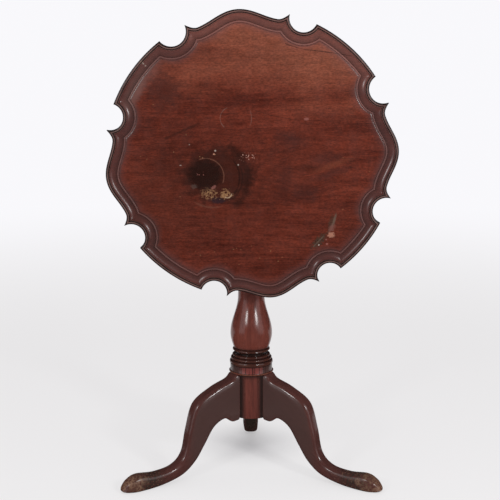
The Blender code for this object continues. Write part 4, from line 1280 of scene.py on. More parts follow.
        flat = EdgePoint(0.0, 0.0)
        profile = self.profile()
        rim_rings = [self.ring(point.run) for point in profile]
        rows = []
        for step in range(1, self.under_rings + 1):
            ring = [place * (step / (self.under_rings + 1)) for place in rim_rings[0]]
            rows.append(row(ring, [0.0] * len(ring), 0.0, flat))
        for ring, point in zip(rim_rings, profile):
            rows.append(row(ring, [point.height] * len(ring), 1.0, point))
        for step in range(1, self.field_rings):
            ring = [place * (1 - step / self.field_rings) for place in rim_rings[-1]]
            settle = min(1.0, step / self.settle_rings)
            heights = [self.field + settle * self.relief(place.x, place.y) for place in ring]
            rows.append(row(ring, heights, max(0.0, self.wine_share - step / self.wine_rings), flat))
        for number, (outer, inner) in enumerate(zip(rows, rows[1:])):
            for index in range(len(outer)):
                face = work.faces.new((outer[index - 1], outer[index], inner[index], inner[index - 1]))
                face.material_index = 1 if number < self.under_rings else 0
        middle = (Vector((0.0, 0.0)),)
        for end, height, number in ((rows[0], 0.0, 1), (rows[-1], self.field + self.relief(0.0, 0.0), 0)):
            hub = row(middle, (height,), 0.0, flat)[0]
            for index in range(len(end)):
                work.faces.new((end[index - 1], end[index], hub)).material_index = number
        mesh = bpy.data.meshes.new("piecrust_top")
        work.to_mesh(mesh)
        work.free()
        return tidy_mesh(mesh, CARVED_EDGE)

    def build(self, fx: Effects) -> None:
        """Carve the top, dress both faces and set it on the tilting body."""
        mesh = self.mesh()
        for finish in (self.finish, self.under_finish):
            mesh.materials.append(finish.material(fx))
        enlist(add_object("piecrust_top", mesh), "top", "mahogany_top", "top_board")


@dataclass
class DovetailJoint:
    """The dovetail by which a leg hangs in the drum, drawn on +X."""

    drum_radius: float = 0.0465
    neck: float = 0.016
    tail: float = 0.024
    depth: float = 0.018
    root: float = 0.008

    def mesh(self, name: str, grow: float, base: float, top: float) -> bpy.types.Mesh:
        """Make the tongue, or, grown, the socket that takes it.

        Args:
            name: The mesh's name.
            grow: How far it is grown.
            base: The height of its foot.
            top: The height of its top.

        Returns:
            The shape.
        """
        inner = self.drum_radius - self.depth - grow
        neck = self.neck / 2 + grow
        tail = neck + (self.tail - self.neck) / 2 / self.depth * (self.drum_radius - inner)
        side = [(self.drum_radius + self.root, neck), (self.drum_radius, neck), (inner, tail)]
        outline = side + [(run, -across) for run, across in reversed(side)]
        return loft(name, [[Vector((*point, height)) for point in outline] for height in (base, top)])


@dataclass
class TurnedColumn:
    """The column, turned in one piece: capital, tapered shaft, bulb, rings, and a drum for the legs."""

    finish: WoodFinish
    joint: DovetailJoint
    leg_turns: tuple[float, ...]
    segments: int = 96
    tenon: Pair = (0.019, 0.7001)
    shoulder: float = 0.6698
    capital: Pair = (0.038, 0.016)
    capital_edge: float = 0.006
    capital_neck: float = 0.012
    capital_ring: Pair = (0.030, 0.006)
    shaft: Pair = (0.0305, 0.0255)
    bulb: tuple[float, float, float, float] = (0.0405, 0.0482, 0.0340, 0.088)
    astragal: Pair = (0.0433, 0.0085)
    neck: Pair = (0.0345, 0.0055)
    upper_ring: Pair = (0.0440, 0.0070)
    middle_ring: Pair = (0.0476, 0.0070)
    lower_ring: Pair = (0.0502, 0.0110)
    quirk: float = 0.0022
    collar: Pair = (0.0486, 0.0150)
    lip: Pair = (0.0515, 0.0030)
    drum: Triple = (0.0465, 0.1045, 0.131)
    wedge_slot: Triple = (0.0023, 0.0193, 0.0223)
    # Degrees each side of a leg, and the width of their soft edge, over which the drum is darkened by painted
    # shade and soiling.
    soiled: float = 46.0
    shade_and_soil_edge: float = 14.0
    eased: float = 0.0006

    @staticmethod
    def ring_points(bases: Pair, ring: Pair, top: float) -> list[EdgePoint]:
        """Return a half-round ring from its top edge to its lower edge, with painted shade and soiling in the
        quirks beside it.

        Args:
            bases: The radii that it stands on, above and below.
            ring: Its radius and height.
            top: The height of its top edge.

        Returns:
            Its outline.
        """
        steps = 10
        points = []
        for step in range(steps + 1):
            turn = math.pi * step / steps
            swell, fall = math.sin(turn), (1 - math.cos(turn)) / 2
            run = blend(blend(*bases, fall), ring[0], swell)
            points.append(EdgePoint(run, top - ring[1] * fall, blend(1.0, 0.3, swell), 0.15 * swell ** 6))
        return points

    def outline(self) -> list[EdgePoint]:
        """Return the column's outline from the top of its tenon down to the foot of its drum."""
        drum_top = self.drum[2] + self.drum[1]
        lip_top = drum_top + self.lip[1]
        collar_top = lip_top + self.collar[1]
        lower_top = collar_top + self.lower_ring[1]
        middle_top = lower_top + self.middle_ring[1]
        upper_top = middle_top + self.upper_ring[1]
        astragal_top = upper_top + self.neck[1] + self.astragal[1]
        foot, belly_radius, swell, rise = self.bulb
        belly = astragal_top + swell
        capital_foot = self.shoulder - self.capital[1]
        soft = self.eased
        wide, narrow = self.shaft
        points = [
            EdgePoint(0.0, self.tenon[1]),
            EdgePoint(self.tenon[0], self.tenon[1]),
            EdgePoint(self.tenon[0], self.shoulder),
            EdgePoint(self.capital[0] - soft, self.shoulder),
            EdgePoint(self.capital[0], self.shoulder - soft, 0.0, 0.4),
        ]
        cove_steps = 12
        for step in range(cove_steps + 1):
            turn = math.pi / 2 * step / cove_steps
            run = blend(self.capital[0], narrow, math.sin(turn))
            height = blend(self.shoulder - self.capital_edge, capital_foot, 1 - math.cos(turn))
            points.append(EdgePoint(run, height, step / cove_steps / 2))
        ring_top = capital_foot - self.capital_neck
        points += self.ring_points((narrow, narrow), self.capital_ring, ring_top)
        shaft_foot = belly + rise
        ring_foot = ring_top - self.capital_ring[1]
        taper_steps = 10
        for step in range(1, taper_steps):
            share = step / taper_steps
            points.append(EdgePoint(blend(narrow, wide, share), blend(ring_foot, shaft_foot, share)))
        shoulder_steps = 22
        for step in range(shoulder_steps):
            share = step / shoulder_steps
            wave = (1 - math.cos(math.pi * share)) / 2
            points.append(EdgePoint(blend(wide, belly_radius, wave), blend(shaft_foot, belly, share)))
        # The bulb's underside, towards the rings, darkens with painted shade.
        belly_steps = 14
        for step in range(belly_steps + 1):
            share = step / belly_steps
            run = blend(foot, belly_radius, math.cos(math.pi / 2 * share))
            points.append(EdgePoint(run, blend(belly, astragal_top, share), share ** 12))
        upper_quirk, middle_quirk = self.upper_ring[0] - self.quirk, self.middle_ring[0] - self.quirk
        points += self.ring_points((self.neck[0], self.neck[0]), self.astragal, astragal_top)
        points += self.ring_points((self.neck[0], upper_quirk), self.upper_ring, upper_top)
        points += self.ring_points((upper_quirk, middle_quirk), self.middle_ring, middle_top)
        points += self.ring_points((middle_quirk, self.collar[0] - soft), self.lower_ring, lower_top)
        # Under the lip and at the drum's top and foot the darkening is painted shade with soiling.
        points += [
            EdgePoint(self.collar[0], collar_top - soft, 0.5),
            EdgePoint(self.collar[0], lip_top + soft, 0.3),
            EdgePoint(self.collar[0] + soft / 2, lip_top, 0.8),
            EdgePoint(self.lip[0] - soft, lip_top - soft, 0.2, 0.3),
            EdgePoint(self.lip[0], lip_top - soft * 2, 0.0, 0.5),
            EdgePoint(self.lip[0], drum_top + soft, 0.0, 0.3),
            EdgePoint(self.lip[0] - soft, drum_top, 0.5),
            EdgePoint(self.drum[0], drum_top, 1.0),
            EdgePoint(self.drum[0], blend(drum_top, self.drum[2], 0.1)),
            EdgePoint(self.drum[0], self.drum[2] + soft),
            EdgePoint(self.drum[0] - soft, self.drum[2], 0.5),
            EdgePoint(0.0, self.drum[2], 0.5),
        ]
        return points

    def shade_and_soil_joints(self, mesh: bpy.types.Mesh) -> None:
        """Darken the drum beside each leg: painted shade where the legs meet it, with old soiling where a
        cloth never reaches.
        """
        for vert, value in zip(mesh.vertices, mesh.attributes["hollow"].data):
            if vert.co.z > self.drum[2] + self.drum[1] - FIT_GAP:
                continue
            spot = vert.co - Vector(COLUMN_PLACE)
            turn = math.degrees(math.atan2(spot.y, spot.x))
            away = min(abs((turn - leg + 180.0) % 360.0 - 180.0) for leg in self.leg_turns)
            value.value = max(value.value, min(1.0, max(0.0, (self.soiled - away) / self.shade_and_soil_edge)))

    def build(self, fx: Effects, lathe: Lathe) -> None:
        """Turn the column, cut the legs' sockets and the wedge's slot, and set it on the stand."""
        material = self.finish.material(fx)
        mesh = lathe.turned("turned_column", self.outline(), self.segments, material)
        column = add_object("turned_column", mesh)
        drum_top = self.drum[2] + self.drum[1]
        socket = self.joint.mesh("socket", FIT_GAP, self.drum[2] - DOVETAIL_KEEP, drum_top - DOVETAIL_KEEP)
        sockets = []
        for turn in self.leg_turns:
            sockets.append(socket.copy())
            sockets[-1].transform(Matrix.Rotation(math.radians(turn), 4, "Z"))
        wide, long, deep = self.wedge_slot
        top = self.tenon[1]
        slot = box_mesh("wedge_slot", (-wide, -long, top - deep), (wide, long, top + FIT_GAP))
        combine(column, [*sockets, slot])
        column.data.transform(Matrix.Translation(COLUMN_PLACE))
        column.data.materials.clear()
        column.data.materials.append(material)
        tidy_mesh(column.data, TURNED_EDGE)
        self.shade_and_soil_joints(column.data)
        enlist(column, "stand", "mahogany_column", "column")


@dataclass
class CabrioleLegs:
    """The three cabriole legs with their slipper feet, sawn and shaped to one pattern."""

    finish: LegFinish
    joint: DovetailJoint
    turns: dict[str, float]
    reach: float = 0.336
    start: float = 0.030
    height: float = 0.2352
    thickness: float = 0.041
    base: float = 0.131
    steps: int = 8
    sides: int = 56
    # Run and rise of the upper edge, of the lower edge, share of the thickness, squareness below and above
    stations: tuple[tuple[float, ...], ...] = (
        (0.000, 1.000, 0.000, 0.544, 1.000, 8.0, 8.0),
        (0.060, 1.000, 0.060, 0.526, 1.000, 8.0, 7.4),
        (0.106, 0.948, 0.100, 0.526, 1.000, 8.0, 6.4),
        (0.243, 0.881, 0.163, 0.569, 1.000, 7.0, 5.2),
        (0.394, 0.755, 0.252, 0.501, 0.966, 6.0, 4.2),
        (0.457, 0.514, 0.328, 0.342, 0.888, 5.0, 3.8),
        (0.500, 0.283, 0.404, 0.192, 0.829, 4.0, 3.4),
        (0.588, 0.173, 0.512, 0.076, 0.820, 3.4, 3.2),
        (0.730, 0.141, 0.680, 0.012, 0.878, 3.2, 3.2),
        (0.872, 0.154, 0.862, -0.008, 0.951, 3.2, 3.2),
        (0.946, 0.117, 0.944, -0.002, 0.820, 3.0, 3.0),
        (0.986, 0.070, 0.986, 0.008, 0.517, 2.6, 2.6),
        (1.000, 0.047, 1.000, 0.022, 0.224, 2.2, 2.2),
    )

    def section(self, place: float) -> list[Vector]:
        """Return one section of the leg, across the line from its lower to its upper edge."""
        values = [smooth_value(column, place) for column in zip(*self.stations)]
        upper_run, upper_rise, lower_run, lower_rise, share, *squares = values
        length = self.reach - self.start
        upper = Vector((self.start + length * upper_run, 0.0, self.height * upper_rise))
        lower = Vector((self.start + length * lower_run, 0.0, self.height * lower_rise))
        middle, tall = (upper + lower) / 2, (upper - lower) / 2
        ring = []
        for side in range(self.sides):
            turn = math.tau * (side + 0.5) / self.sides
            square = squares[math.sin(turn) > 0.0]
            across = math.copysign(abs(math.cos(turn)) ** (2 / square), math.cos(turn))
            along = math.copysign(abs(math.sin(turn)) ** (2 / square), math.sin(turn))
            ring.append(middle + tall * along + Vector((0.0, self.thickness / 2 * share * across, 0.0)))
        return ring

    def shape(self, lathe: Lathe) -> bpy.types.Mesh:
        """Shape one leg on +X: cope it to the drum, add its dovetail and level its foot and its top."""
        count = (len(self.stations) - 1) * self.steps
        leg = add_object("leg", loft("leg", [self.section(step / self.steps) for step in range(count + 1)]))
        far = self.reach * 2
        drum = self.joint.drum_radius + FIT_GAP
        tube = [EdgePoint(0.0, far), EdgePoint(drum, far), EdgePoint(drum, -far), EdgePoint(0.0, -far)]
        combine(leg, [lathe.turned("cope", tube, DRUM_SEGMENTS)])
        combine(leg, [self.joint.mesh("tongue", 0.0, self.base, self.height - DOVETAIL_KEEP)], "UNION")
        floor = box_mesh("floor_cut", (0.0, -far, -far), (far, far, 0.0))
        level = box_mesh("top_cut", (0.0, -far, self.height), (far, far, far))
        combine(leg, [floor, level])
        mesh = tidy_mesh(leg.data, LOFT_EDGE)
        bpy.data.objects.remove(leg, do_unlink=True)
        return mesh

    def build(self, fx: Effects, lathe: Lathe) -> None:
        """Set the three legs round the drum, each with its own coordinates for its grain."""
        shape = self.shape(lathe)
        material = self.finish.material(fx)
        for number, (name, turn) in enumerate(self.turns.items()):
            mesh = shape.copy()
            shift = Vector((0.0, LEG_SHIFT * number, 0.0))
            kinds = {"leg_place": "FLOAT_VECTOR", "inward": "FLOAT", "flank": "FLOAT"}
            for title, kind in kinds.items():
                mesh.attributes.new(title, kind, "POINT")
            own, inward, flank = (mesh.attributes[title].data for title in kinds)
            for index, vert in enumerate(mesh.vertices):
                own[index].vector = vert.co + shift
                # inward: how far a point faces the column, where painted shade goes; flank: how flat-sided it
                # is, where a painted reflection goes.
                inward[index].value = max(-vert.normal.x, 0.0)
                flank[index].value = abs(vert.normal.y)
            mesh.transform(Matrix.Translation(COLUMN_PLACE) @ Matrix.Rotation(math.radians(turn), 4, "Z"))
            mesh.materials.clear()
            mesh.materials.append(material)
            enlist(add_object(f"cabriole_{name}", mesh), "stand", "mahogany_legs", name)


class ScrewSetter(GeometryMaker):
    """The node tree that sets a blank at every point, its slot turned at random about the screw."""

    def __init__(self) -> None:
        """Build the tree."""
        super().__init__("screw_setting", {"Places": "Geometry", "Blank": "Object", "Seed": "Int"})
        g, given = self.graph, self.given
        points = g.add("GeometryNodeMeshToPoints", {"Mesh": given["Places"]}).outputs[0]
        blank = g.add("GeometryNodeObjectInfo", {"Object": given["Blank"]}).outputs["Geometry"]
        drawn = g.add("FunctionNodeRandomValue", {"Seed": given["Seed"]}, data_type="FLOAT").outputs
        chance = next(out for out in drawn if out.type == "VALUE" and out.enabled)
        turn = g.joined(0.0, g.times(chance, math.tau))
        feeds = {"Points": points, "Instance": blank, "Rotation": turn}
        self.end(g.add("GeometryNodeInstanceOnPoints", feeds).outputs[0])

    def set_screws(self, name: str, blank: bpy.types.Object, places: Sequence[Vector], seed: int,
                   material: bpy.types.Material) -> bpy.types.Object:
        """Set a blank at each place.

        Args:
            name: The name of the set.
            blank: The screw, its head's face at the origin and towards +Y.
            places: Where the heads' faces are.
            seed: The seed of the slots' turns.
            material: What the screws are made of.

        Returns:
            One object with all the screws.
        """
        cloud = bpy.data.meshes.new(name)
        cloud.from_pydata([tuple(place) for place in places], [], [])
        mesh = self.run(cloud, {"Blank": blank, "Seed": seed, "Material": material})
        shade_round(mesh, TURNED_EDGE)
        return add_object(name, mesh)


@dataclass(frozen=True)
class ScrewSize:
    """A countersunk screw with a cut slot."""

    head: float
    shank: float
    length: float
    point: float = 0.0025
    slot_width: float = 0.0004
    slot_depth: float = 0.0009
    eased: float = 0.07
    segments: int = 14

    def blank(self, name: str, lathe: Lathe) -> bpy.types.Object:
        """Make the screw, its head's face at the origin and towards +Y."""
        sink = self.head - self.shank
        outline = [
            EdgePoint(0.0, 0.0),
            EdgePoint(self.head * (1 - self.eased), 0.0),
            EdgePoint(self.head, -self.head * self.eased),
            EdgePoint(self.shank, -sink),
            EdgePoint(self.shank, self.point - self.length),
            EdgePoint(0.0, -self.length),
        ]
        screw = add_object(name, lathe.turned(name, outline, self.segments))
        far = self.head * 2
        slot = box_mesh("slot", (-far, -self.slot_width, -self.slot_depth), (far, self.slot_width, far))
        combine(screw, [slot])
        screw.data.transform(Matrix.Rotation(-math.pi / 2, 4, "X"))
        return screw


@dataclass
class TiltFittings:
    """The block and battens that the top turns on, the catch that holds it level, and all the screws."""

    block_finish: WoodFinish
    batten_finish: WoodFinish
    brass: MetalFinish
    steel: MetalFinish
    large: ScrewSize = ScrewSize(0.0040, 0.0021, 0.0190)
    small: ScrewSize = ScrewSize(0.0027, 0.0014, 0.0105)
    wood_arris: float = 0.0011
    metal_arris: float = 0.0003
    arris_steps: int = 2
    sharp: float = 40.0
    spring_wire: float = 0.0008
    spring_turns: int = 4
    spring_points: int = 28
    spring_sides: int = 10

    def softened(self, node: str, name: str, arris: float) -> bpy.types.Object:
        """Make a piece from a copy of a node, with its edges eased.

        Args:
            node: The node that the piece follows.
            name: The piece's name.
            arris: The width of the eased edge.

        Returns:
            The piece.
        """
        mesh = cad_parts[node].data.copy()
        if "custom_normal" in mesh.attributes:
            mesh.attributes.remove(mesh.attributes["custom_normal"])
        work = bmesh.new()
        work.from_mesh(mesh)
        bmesh.ops.remove_doubles(work, verts=work.verts, dist=MERGE_DISTANCE)
        flat = math.radians(FLAT_ANGLE)
        bmesh.ops.dissolve_limit(work, angle_limit=flat, verts=work.verts, edges=work.edges)
        work.to_mesh(mesh)
        work.free()
        piece = add_object(name, mesh)
        step = piece.modifiers.new("eased_edges", "BEVEL")
        step.width = arris
        step.segments = self.arris_steps
        step.limit_method = "ANGLE"
        step.angle_limit = math.radians(self.sharp)
        eased = baked(piece)
        piece.modifiers.clear()
        piece.data = tidy_mesh(eased, self.sharp / 2)
        return piece

    def build(self, fx: Effects, lathe: Lathe) -> None:
        """Make every fitting, dress it and set it on its body."""
        block, batten = self.block_finish.material(fx), self.batten_finish.material(fx)
        brass, steel = self.brass.material(fx), self.steel.material(fx)
        fittings = (
            ("tilt_block", "block_with_pintles", self.wood_arris, block, "stand", "secondary_wood"),
            ("tenon_wedge", "wedge_in_tenon", self.metal_arris, block, "stand", "secondary_wood"),
            ("batten_left", "left_batten", self.wood_arris, batten, "top", "secondary_wood"),
            ("batten_right", "right_batten", self.wood_arris, batten, "top", "secondary_wood"),
            ("strike_plate", "plate_for_bolt", self.metal_arris, brass, "stand", "brass"),
            ("catch_case", "case_of_catch", self.metal_arris, brass, "top", "brass"),
            ("catch_bolt", "bolt_with_knob", self.metal_arris, brass, "bolt", "brass"),
        )
        for node, name, arris, material, body, slot in fittings:
            piece = self.softened(node, name, arris)
            piece.data.materials.clear()
            piece.data.materials.append(material)
            enlist(piece, body, slot, node)
        self.wind_spring(steel)
        self.set_all_screws(lathe, steel)

    def wind_spring(self, steel: bpy.types.Material) -> None:
        """Wind the spring of the catch in its node's room."""
        low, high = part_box("catch_spring")
        foot, rise = (low + high) / 2, high.z - low.z
        wire, up = self.spring_wire / 2, Vector((0.0, 0.0, 1.0))
        foot.z = low.z + wire
        count = self.spring_turns * self.spring_points
        rings = []
        for step in range(count + 1):
            turn = math.tau * step / self.spring_points
            out = Vector((math.cos(turn), math.sin(turn), 0.0))
            heart = foot + out * ((high.x - low.x) / 2 - wire) + up * ((rise - 2 * wire) * step / count)
            angles = [math.tau * side / self.spring_sides for side in range(self.spring_sides)]
            rings.append([heart + (out * math.cos(angle) + up * math.sin(angle)) * wire for angle in angles])
        spring = add_object("spring_in_catch", loft("spring_in_catch", rings))
        spring.data.materials.append(steel)
        enlist(spring, "top", "steel", "catch_spring")
        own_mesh(spring)

    def set_all_screws(self, lathe: Lathe, steel: bpy.types.Material) -> None:
        """Set the battens', the case's and the plate's screws where their nodes are."""
        setter = ScrewSetter()
        sides = ("left", "right")
        batten_nodes = [f"batten_screw_{side}_{number}" for side in sides for number in range(1, 5)]
        case_nodes = [f"case_screw_{number}" for number in range(1, 5)]
        plate_nodes = [f"strike_screw_{number}" for number in range(1, 3)]
        sets = (
            ("screws_in_battens", self.large, batten_nodes, "top"),
            ("screws_in_case", self.small, case_nodes, "top"),
            ("screws_in_plate", self.small, plate_nodes, "stand"),
        )
        for seed, (name, size, nodes, body) in enumerate(sets):
            blank = size.blank(f"{name}_blank", lathe)
            places = []
            for node in nodes:
                low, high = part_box(node)
                places.append(Vector(((low.x + high.x) / 2, high.y, (low.z + high.z) / 2)))
            screws = setter.set_screws(name, blank, places, seed, steel)
            bpy.data.objects.remove(blank, do_unlink=True)
            enlist(screws, body, "steel", *nodes)


@dataclass(frozen=True)
class Softbox:
    """A soft lamp: its name, its width and height, its power in watts and where it hangs."""

    name: str
    size: Pair
    power: float
    place: Triple

    def hang(self, aim: Sequence[float]) -> None:
        """Hang the lamp facing a point."""
        lamp = bpy.data.lights.new(self.name, "AREA")
        lamp.shape = "RECTANGLE"
        lamp.size, lamp.size_y = self.size
        lamp.energy = self.power
        holder = add_object(self.name, lamp)
        holder.location = self.place
        holder.rotation_euler = (Vector(aim) - Vector(self.place)).to_track_quat("-Z", "Y").to_euler()
        holder.visible_camera = False


@dataclass
class Studio:
    """The pale floor and background, the soft lamps and the camera."""

    backdrop: Colour = (0.945, 0.940, 0.968, 1.0)
    floor: Colour = (0.90, 0.89, 0.895, 1.0)
    floor_glow: Colour = (0.940, 0.928, 0.932, 1.0)
    floor_level: float = -0.0003
    floor_half: float = 20.0
    shade: Triple = (0.0, 0.07, 0.0)
    near_glow: Pair = (0.20, 0.66)
    near: Pair = (0.0, 0.18)
    fade: Pair = (0.8, 4.0)
    sky: float = 0.58
    card_colour: Colour = (0.02, 0.02, 0.02, 1.0)
    card_half: float = 2.4
    card_front: float = -3.3
    card_back: float = 3.6
    card_top: float = 2.7
    card_near: float = -0.9
    mat_edge: float = -0.36
    # A dark strip on the floor under the table, seen only by the polish, standing in for the shade there.
    under_shade_strip: Pair = (0.28, 0.26)
    wing: Pair = (0.30, 0.40)
    lamps: tuple[Softbox, ...] = (
        Softbox("left_softbox", (0.28, 0.28), 9.5, (-1.166, -1.946, 1.20)),
        Softbox("right_softbox", (0.28, 0.28), 15.5, (1.233, -1.898, 1.20)),
    )
    lamp_aim: Triple = (0.0, -0.12, 0.50)
    camera_place: Triple = (-0.0165, -2.7803, 1.0500)
    camera_turn: Pair = (78.93, -0.35)
    lens: float = 86.54
    shift: Pair = (-0.0025, -0.0012)

    def seen_rays(self, g: Graph) -> Socket:
        """Return 1 for rays that show the background: the camera's, and those of gloss and glass."""
        path = g.add("ShaderNodeLightPath").outputs
        seen = g.calc("MAXIMUM", path["Is Camera Ray"], path["Is Glossy Ray"])
        return g.calc("MAXIMUM", seen, path["Is Transmission Ray"])

    def light_world(self) -> None:
        """Set the background's colour and the even light from all round."""
        world = bpy.data.worlds.new("studio")
        bpy.context.scene.world = world
        world.use_nodes = True
        g = Graph(world.node_tree)
        shader = world.node_tree.nodes["Background"]
        seen = self.seen_rays(g)
        g.feed(shader.inputs["Color"], self.backdrop)
        g.feed(shader.inputs["Strength"], g.calc("MULTIPLY_ADD", seen, 1.0 - self.sky, self.sky))

    def lay_floor(self) -> None:
        """Lay the floor, which fades into the background far from the table."""
        half, level = self.floor_half, self.floor_level
        mesh = bpy.data.meshes.new("floor")
        corners = [(-half, -half, level), (half, -half, level), (half, half, level), (-half, half, level)]
        mesh.from_pydata(corners, [], [(0, 1, 2, 3)])
        material, g, shader = open_material("floor")
        material.node_tree.nodes.remove(shader)
        away = g.measure("LENGTH", g.move("SUBTRACT", g.object_place(), self.shade))
        kept = g.calc("SUBTRACT", 1.0, g.span(away, *self.near, *self.near_glow))
        kept = g.times(kept, g.span(away, *reversed(self.fade)))
        share = g.times(g.calc("SUBTRACT", 1.0, kept), self.seen_rays(g))
        matt = g.add("ShaderNodeBsdfDiffuse", {"Color": self.floor}).outputs[0]
        glow = g.mix(g.span(away, *self.fade), self.floor_glow, self.backdrop)
        glow = g.add("ShaderNodeEmission", {"Color": glow, "Strength": 1.0}).outputs[0]
        mixed = g.add("ShaderNodeMixShader", {0: share, 1: matt, 2: glow}).outputs[0]
        g.feed(material.node_tree.nodes["Material Output"].inputs["Surface"], mixed)
        mesh.materials.append(material)
        floor = add_object("floor", mesh)

    def hang_cards(self) -> None:
        """Set dark cards all round, overhead and on the floor, which only the polish sees; the strip under
        the table stands in for the shade there.
        """
        half, top, edge = self.card_half, self.card_top, self.mat_edge
        front, near, back = self.card_front, self.card_near, self.card_back
        reach, end = self.wing
        wide, far = self.under_shade_strip
        across = (
            ((front, 0.0), (front, top), half),
            ((front, top), (back, top), half),
            ((back, top), (back, 0.0), half),
            ((front, 0.0), (edge, 0.0), half),
            # The strip under the table: a dark sheet standing in for its shade.
            ((edge, 0.0), (far, 0.0), wide),
        )
        wall = ((near, 0.0), (near, top), (back, top), (back, 0.0))
        wing = ((half, edge), (reach, edge), (reach, end), (half, end))
        corners = []
        for first, second, out in across:
            corners += [(-out, *first), (out, *first), (out, *second), (-out, *second)]
        for side in (-1.0, 1.0):
            corners += [(side * half, deep, up) for deep, up in wall]
            corners += [(side * out, deep, 0.0) for out, deep in wing]
        count = len(wall)
        faces = [tuple(range(first, first + count)) for first in range(0, len(corners), count)]
        mesh = bpy.data.meshes.new("dark_cards")
        mesh.from_pydata(corners, [], faces)
        material, _, shader = open_material("dark_cards")
        shader.inputs["Base Color"].default_value = self.card_colour
        shader.inputs["Specular IOR Level"].default_value = 0.0
        mesh.materials.append(material)
        cards = add_object("dark_cards", mesh)
        cards.visible_camera = cards.visible_diffuse = cards.visible_shadow = False

    def add_camera(self) -> None:
        """Stand the camera where the photograph was taken from."""
        data = bpy.data.cameras.new("camera")
        data.lens = self.lens
        data.shift_x, data.shift_y = self.shift
        camera = add_object("camera", data)
        camera.location = self.camera_place
        tilt, turn = (math.radians(angle) for angle in self.camera_turn)
        camera.rotation_euler = (tilt, 0.0, turn)
        bpy.context.scene.camera = camera

    def build(self) -> None:
        """Set up the whole studio."""
        bpy.context.scene.view_settings.view_transform = "Standard"
        self.light_world()
        self.lay_floor()
        self.hang_cards()
        for lamp in self.lamps:
            lamp.hang(self.lamp_aim)
        self.add_camera()


BURN = (0.010, 0.0040, 0.0026, 1.0)
SMOKE = (0.036, 0.0085, 0.0050, 1.0)
SHADE = (0.044, 0.015, 0.013, 1.0)
EMBER = (0.175, 0.043, 0.020, 1.0)
CHIP = (0.330, 0.175, 0.080, 1.0)
PALE_NICK = (0.500, 0.420, 0.360, 1.0)
FILLER = (0.130, 0.086, 0.062, 1.0)
MOSS = (0.044, 0.034, 0.022, 1.0)
PEACH = (0.480, 0.225, 0.150, 1.0)
DARK_LINE = (0.030, 0.011, 0.008, 1.0)
PINK = (0.300, 0.110, 0.090, 1.0)
BLUSH = (0.185, 0.078, 0.062, 1.0)
RUST = (0.210, 0.085, 0.052, 1.0)
ASH = (0.105, 0.075, 0.062, 1.0)
PLUM = (0.022, 0.013, 0.018, 1.0)
# Painted sheen: a pale haze of light on the polish.
PAINTED_SHEEN = (0.185, 0.092, 0.078, 1.0)
STAIN = (0.055, 0.014, 0.010, 1.0)
CREAM = (0.50, 0.36, 0.24, 1.0)
ROSE = (0.42, 0.22, 0.17, 1.0)

# Marks on the field, the lowest first: colour, share, then places and sizes in metres from its middle
UPPER_LEFT = (
    # Painted sheen on the field near the upper-left rim.
    Blot(PAINTED_SHEEN, 0.55, (-0.2560, 0.1330), (0.0480, 0.0140), 62.0, 1.0, 0.6),
    Scratch(PALE_NICK, 0.90, (-0.2405, 0.2093), (-0.2322, 0.2010), 0.0030),
    Blot(PALE_NICK, 0.75, (-0.2278, 0.1962), (0.0018, 0.0016)),
    Blot(PAINTED_SHEEN, 0.30, (-0.2300, 0.1750), (0.0400, 0.0220), 50.0, 1.2, 0.7),
    Blot(STAIN, 0.60, (-0.190, 0.142), (0.034, 0.034), 0.0, 2.2, 0.5, 75.0),
)
SWIRL = (
    Blot(SMOKE, 0.22, (0.115, -0.030), (0.075, 0.065), 0.0, 1.4, 0.7),
    Blot(SHADE, 0.50, (0.081, 0.038), (0.030, 0.016), -8.0, 1.2, 0.7),
    Blot(SHADE, 0.40, (0.165, -0.002), (0.028, 0.012), 5.0, 1.2, 0.7),
    Blot(SHADE, 0.42, (0.177, -0.037), (0.048, 0.008), 19.0, 1.0, 0.7),
    Blot(SHADE, 0.42, (0.118, -0.078), (0.024, 0.020), 0.0, 1.4, 0.7),
    Blot(SHADE, 0.38, (0.070, -0.048), (0.015, 0.034), 0.0, 1.2, 0.7),
    Blot(EMBER, 0.45, (0.178, -0.018), (0.038, 0.006), 20.0, 1.0, 0.7),
)
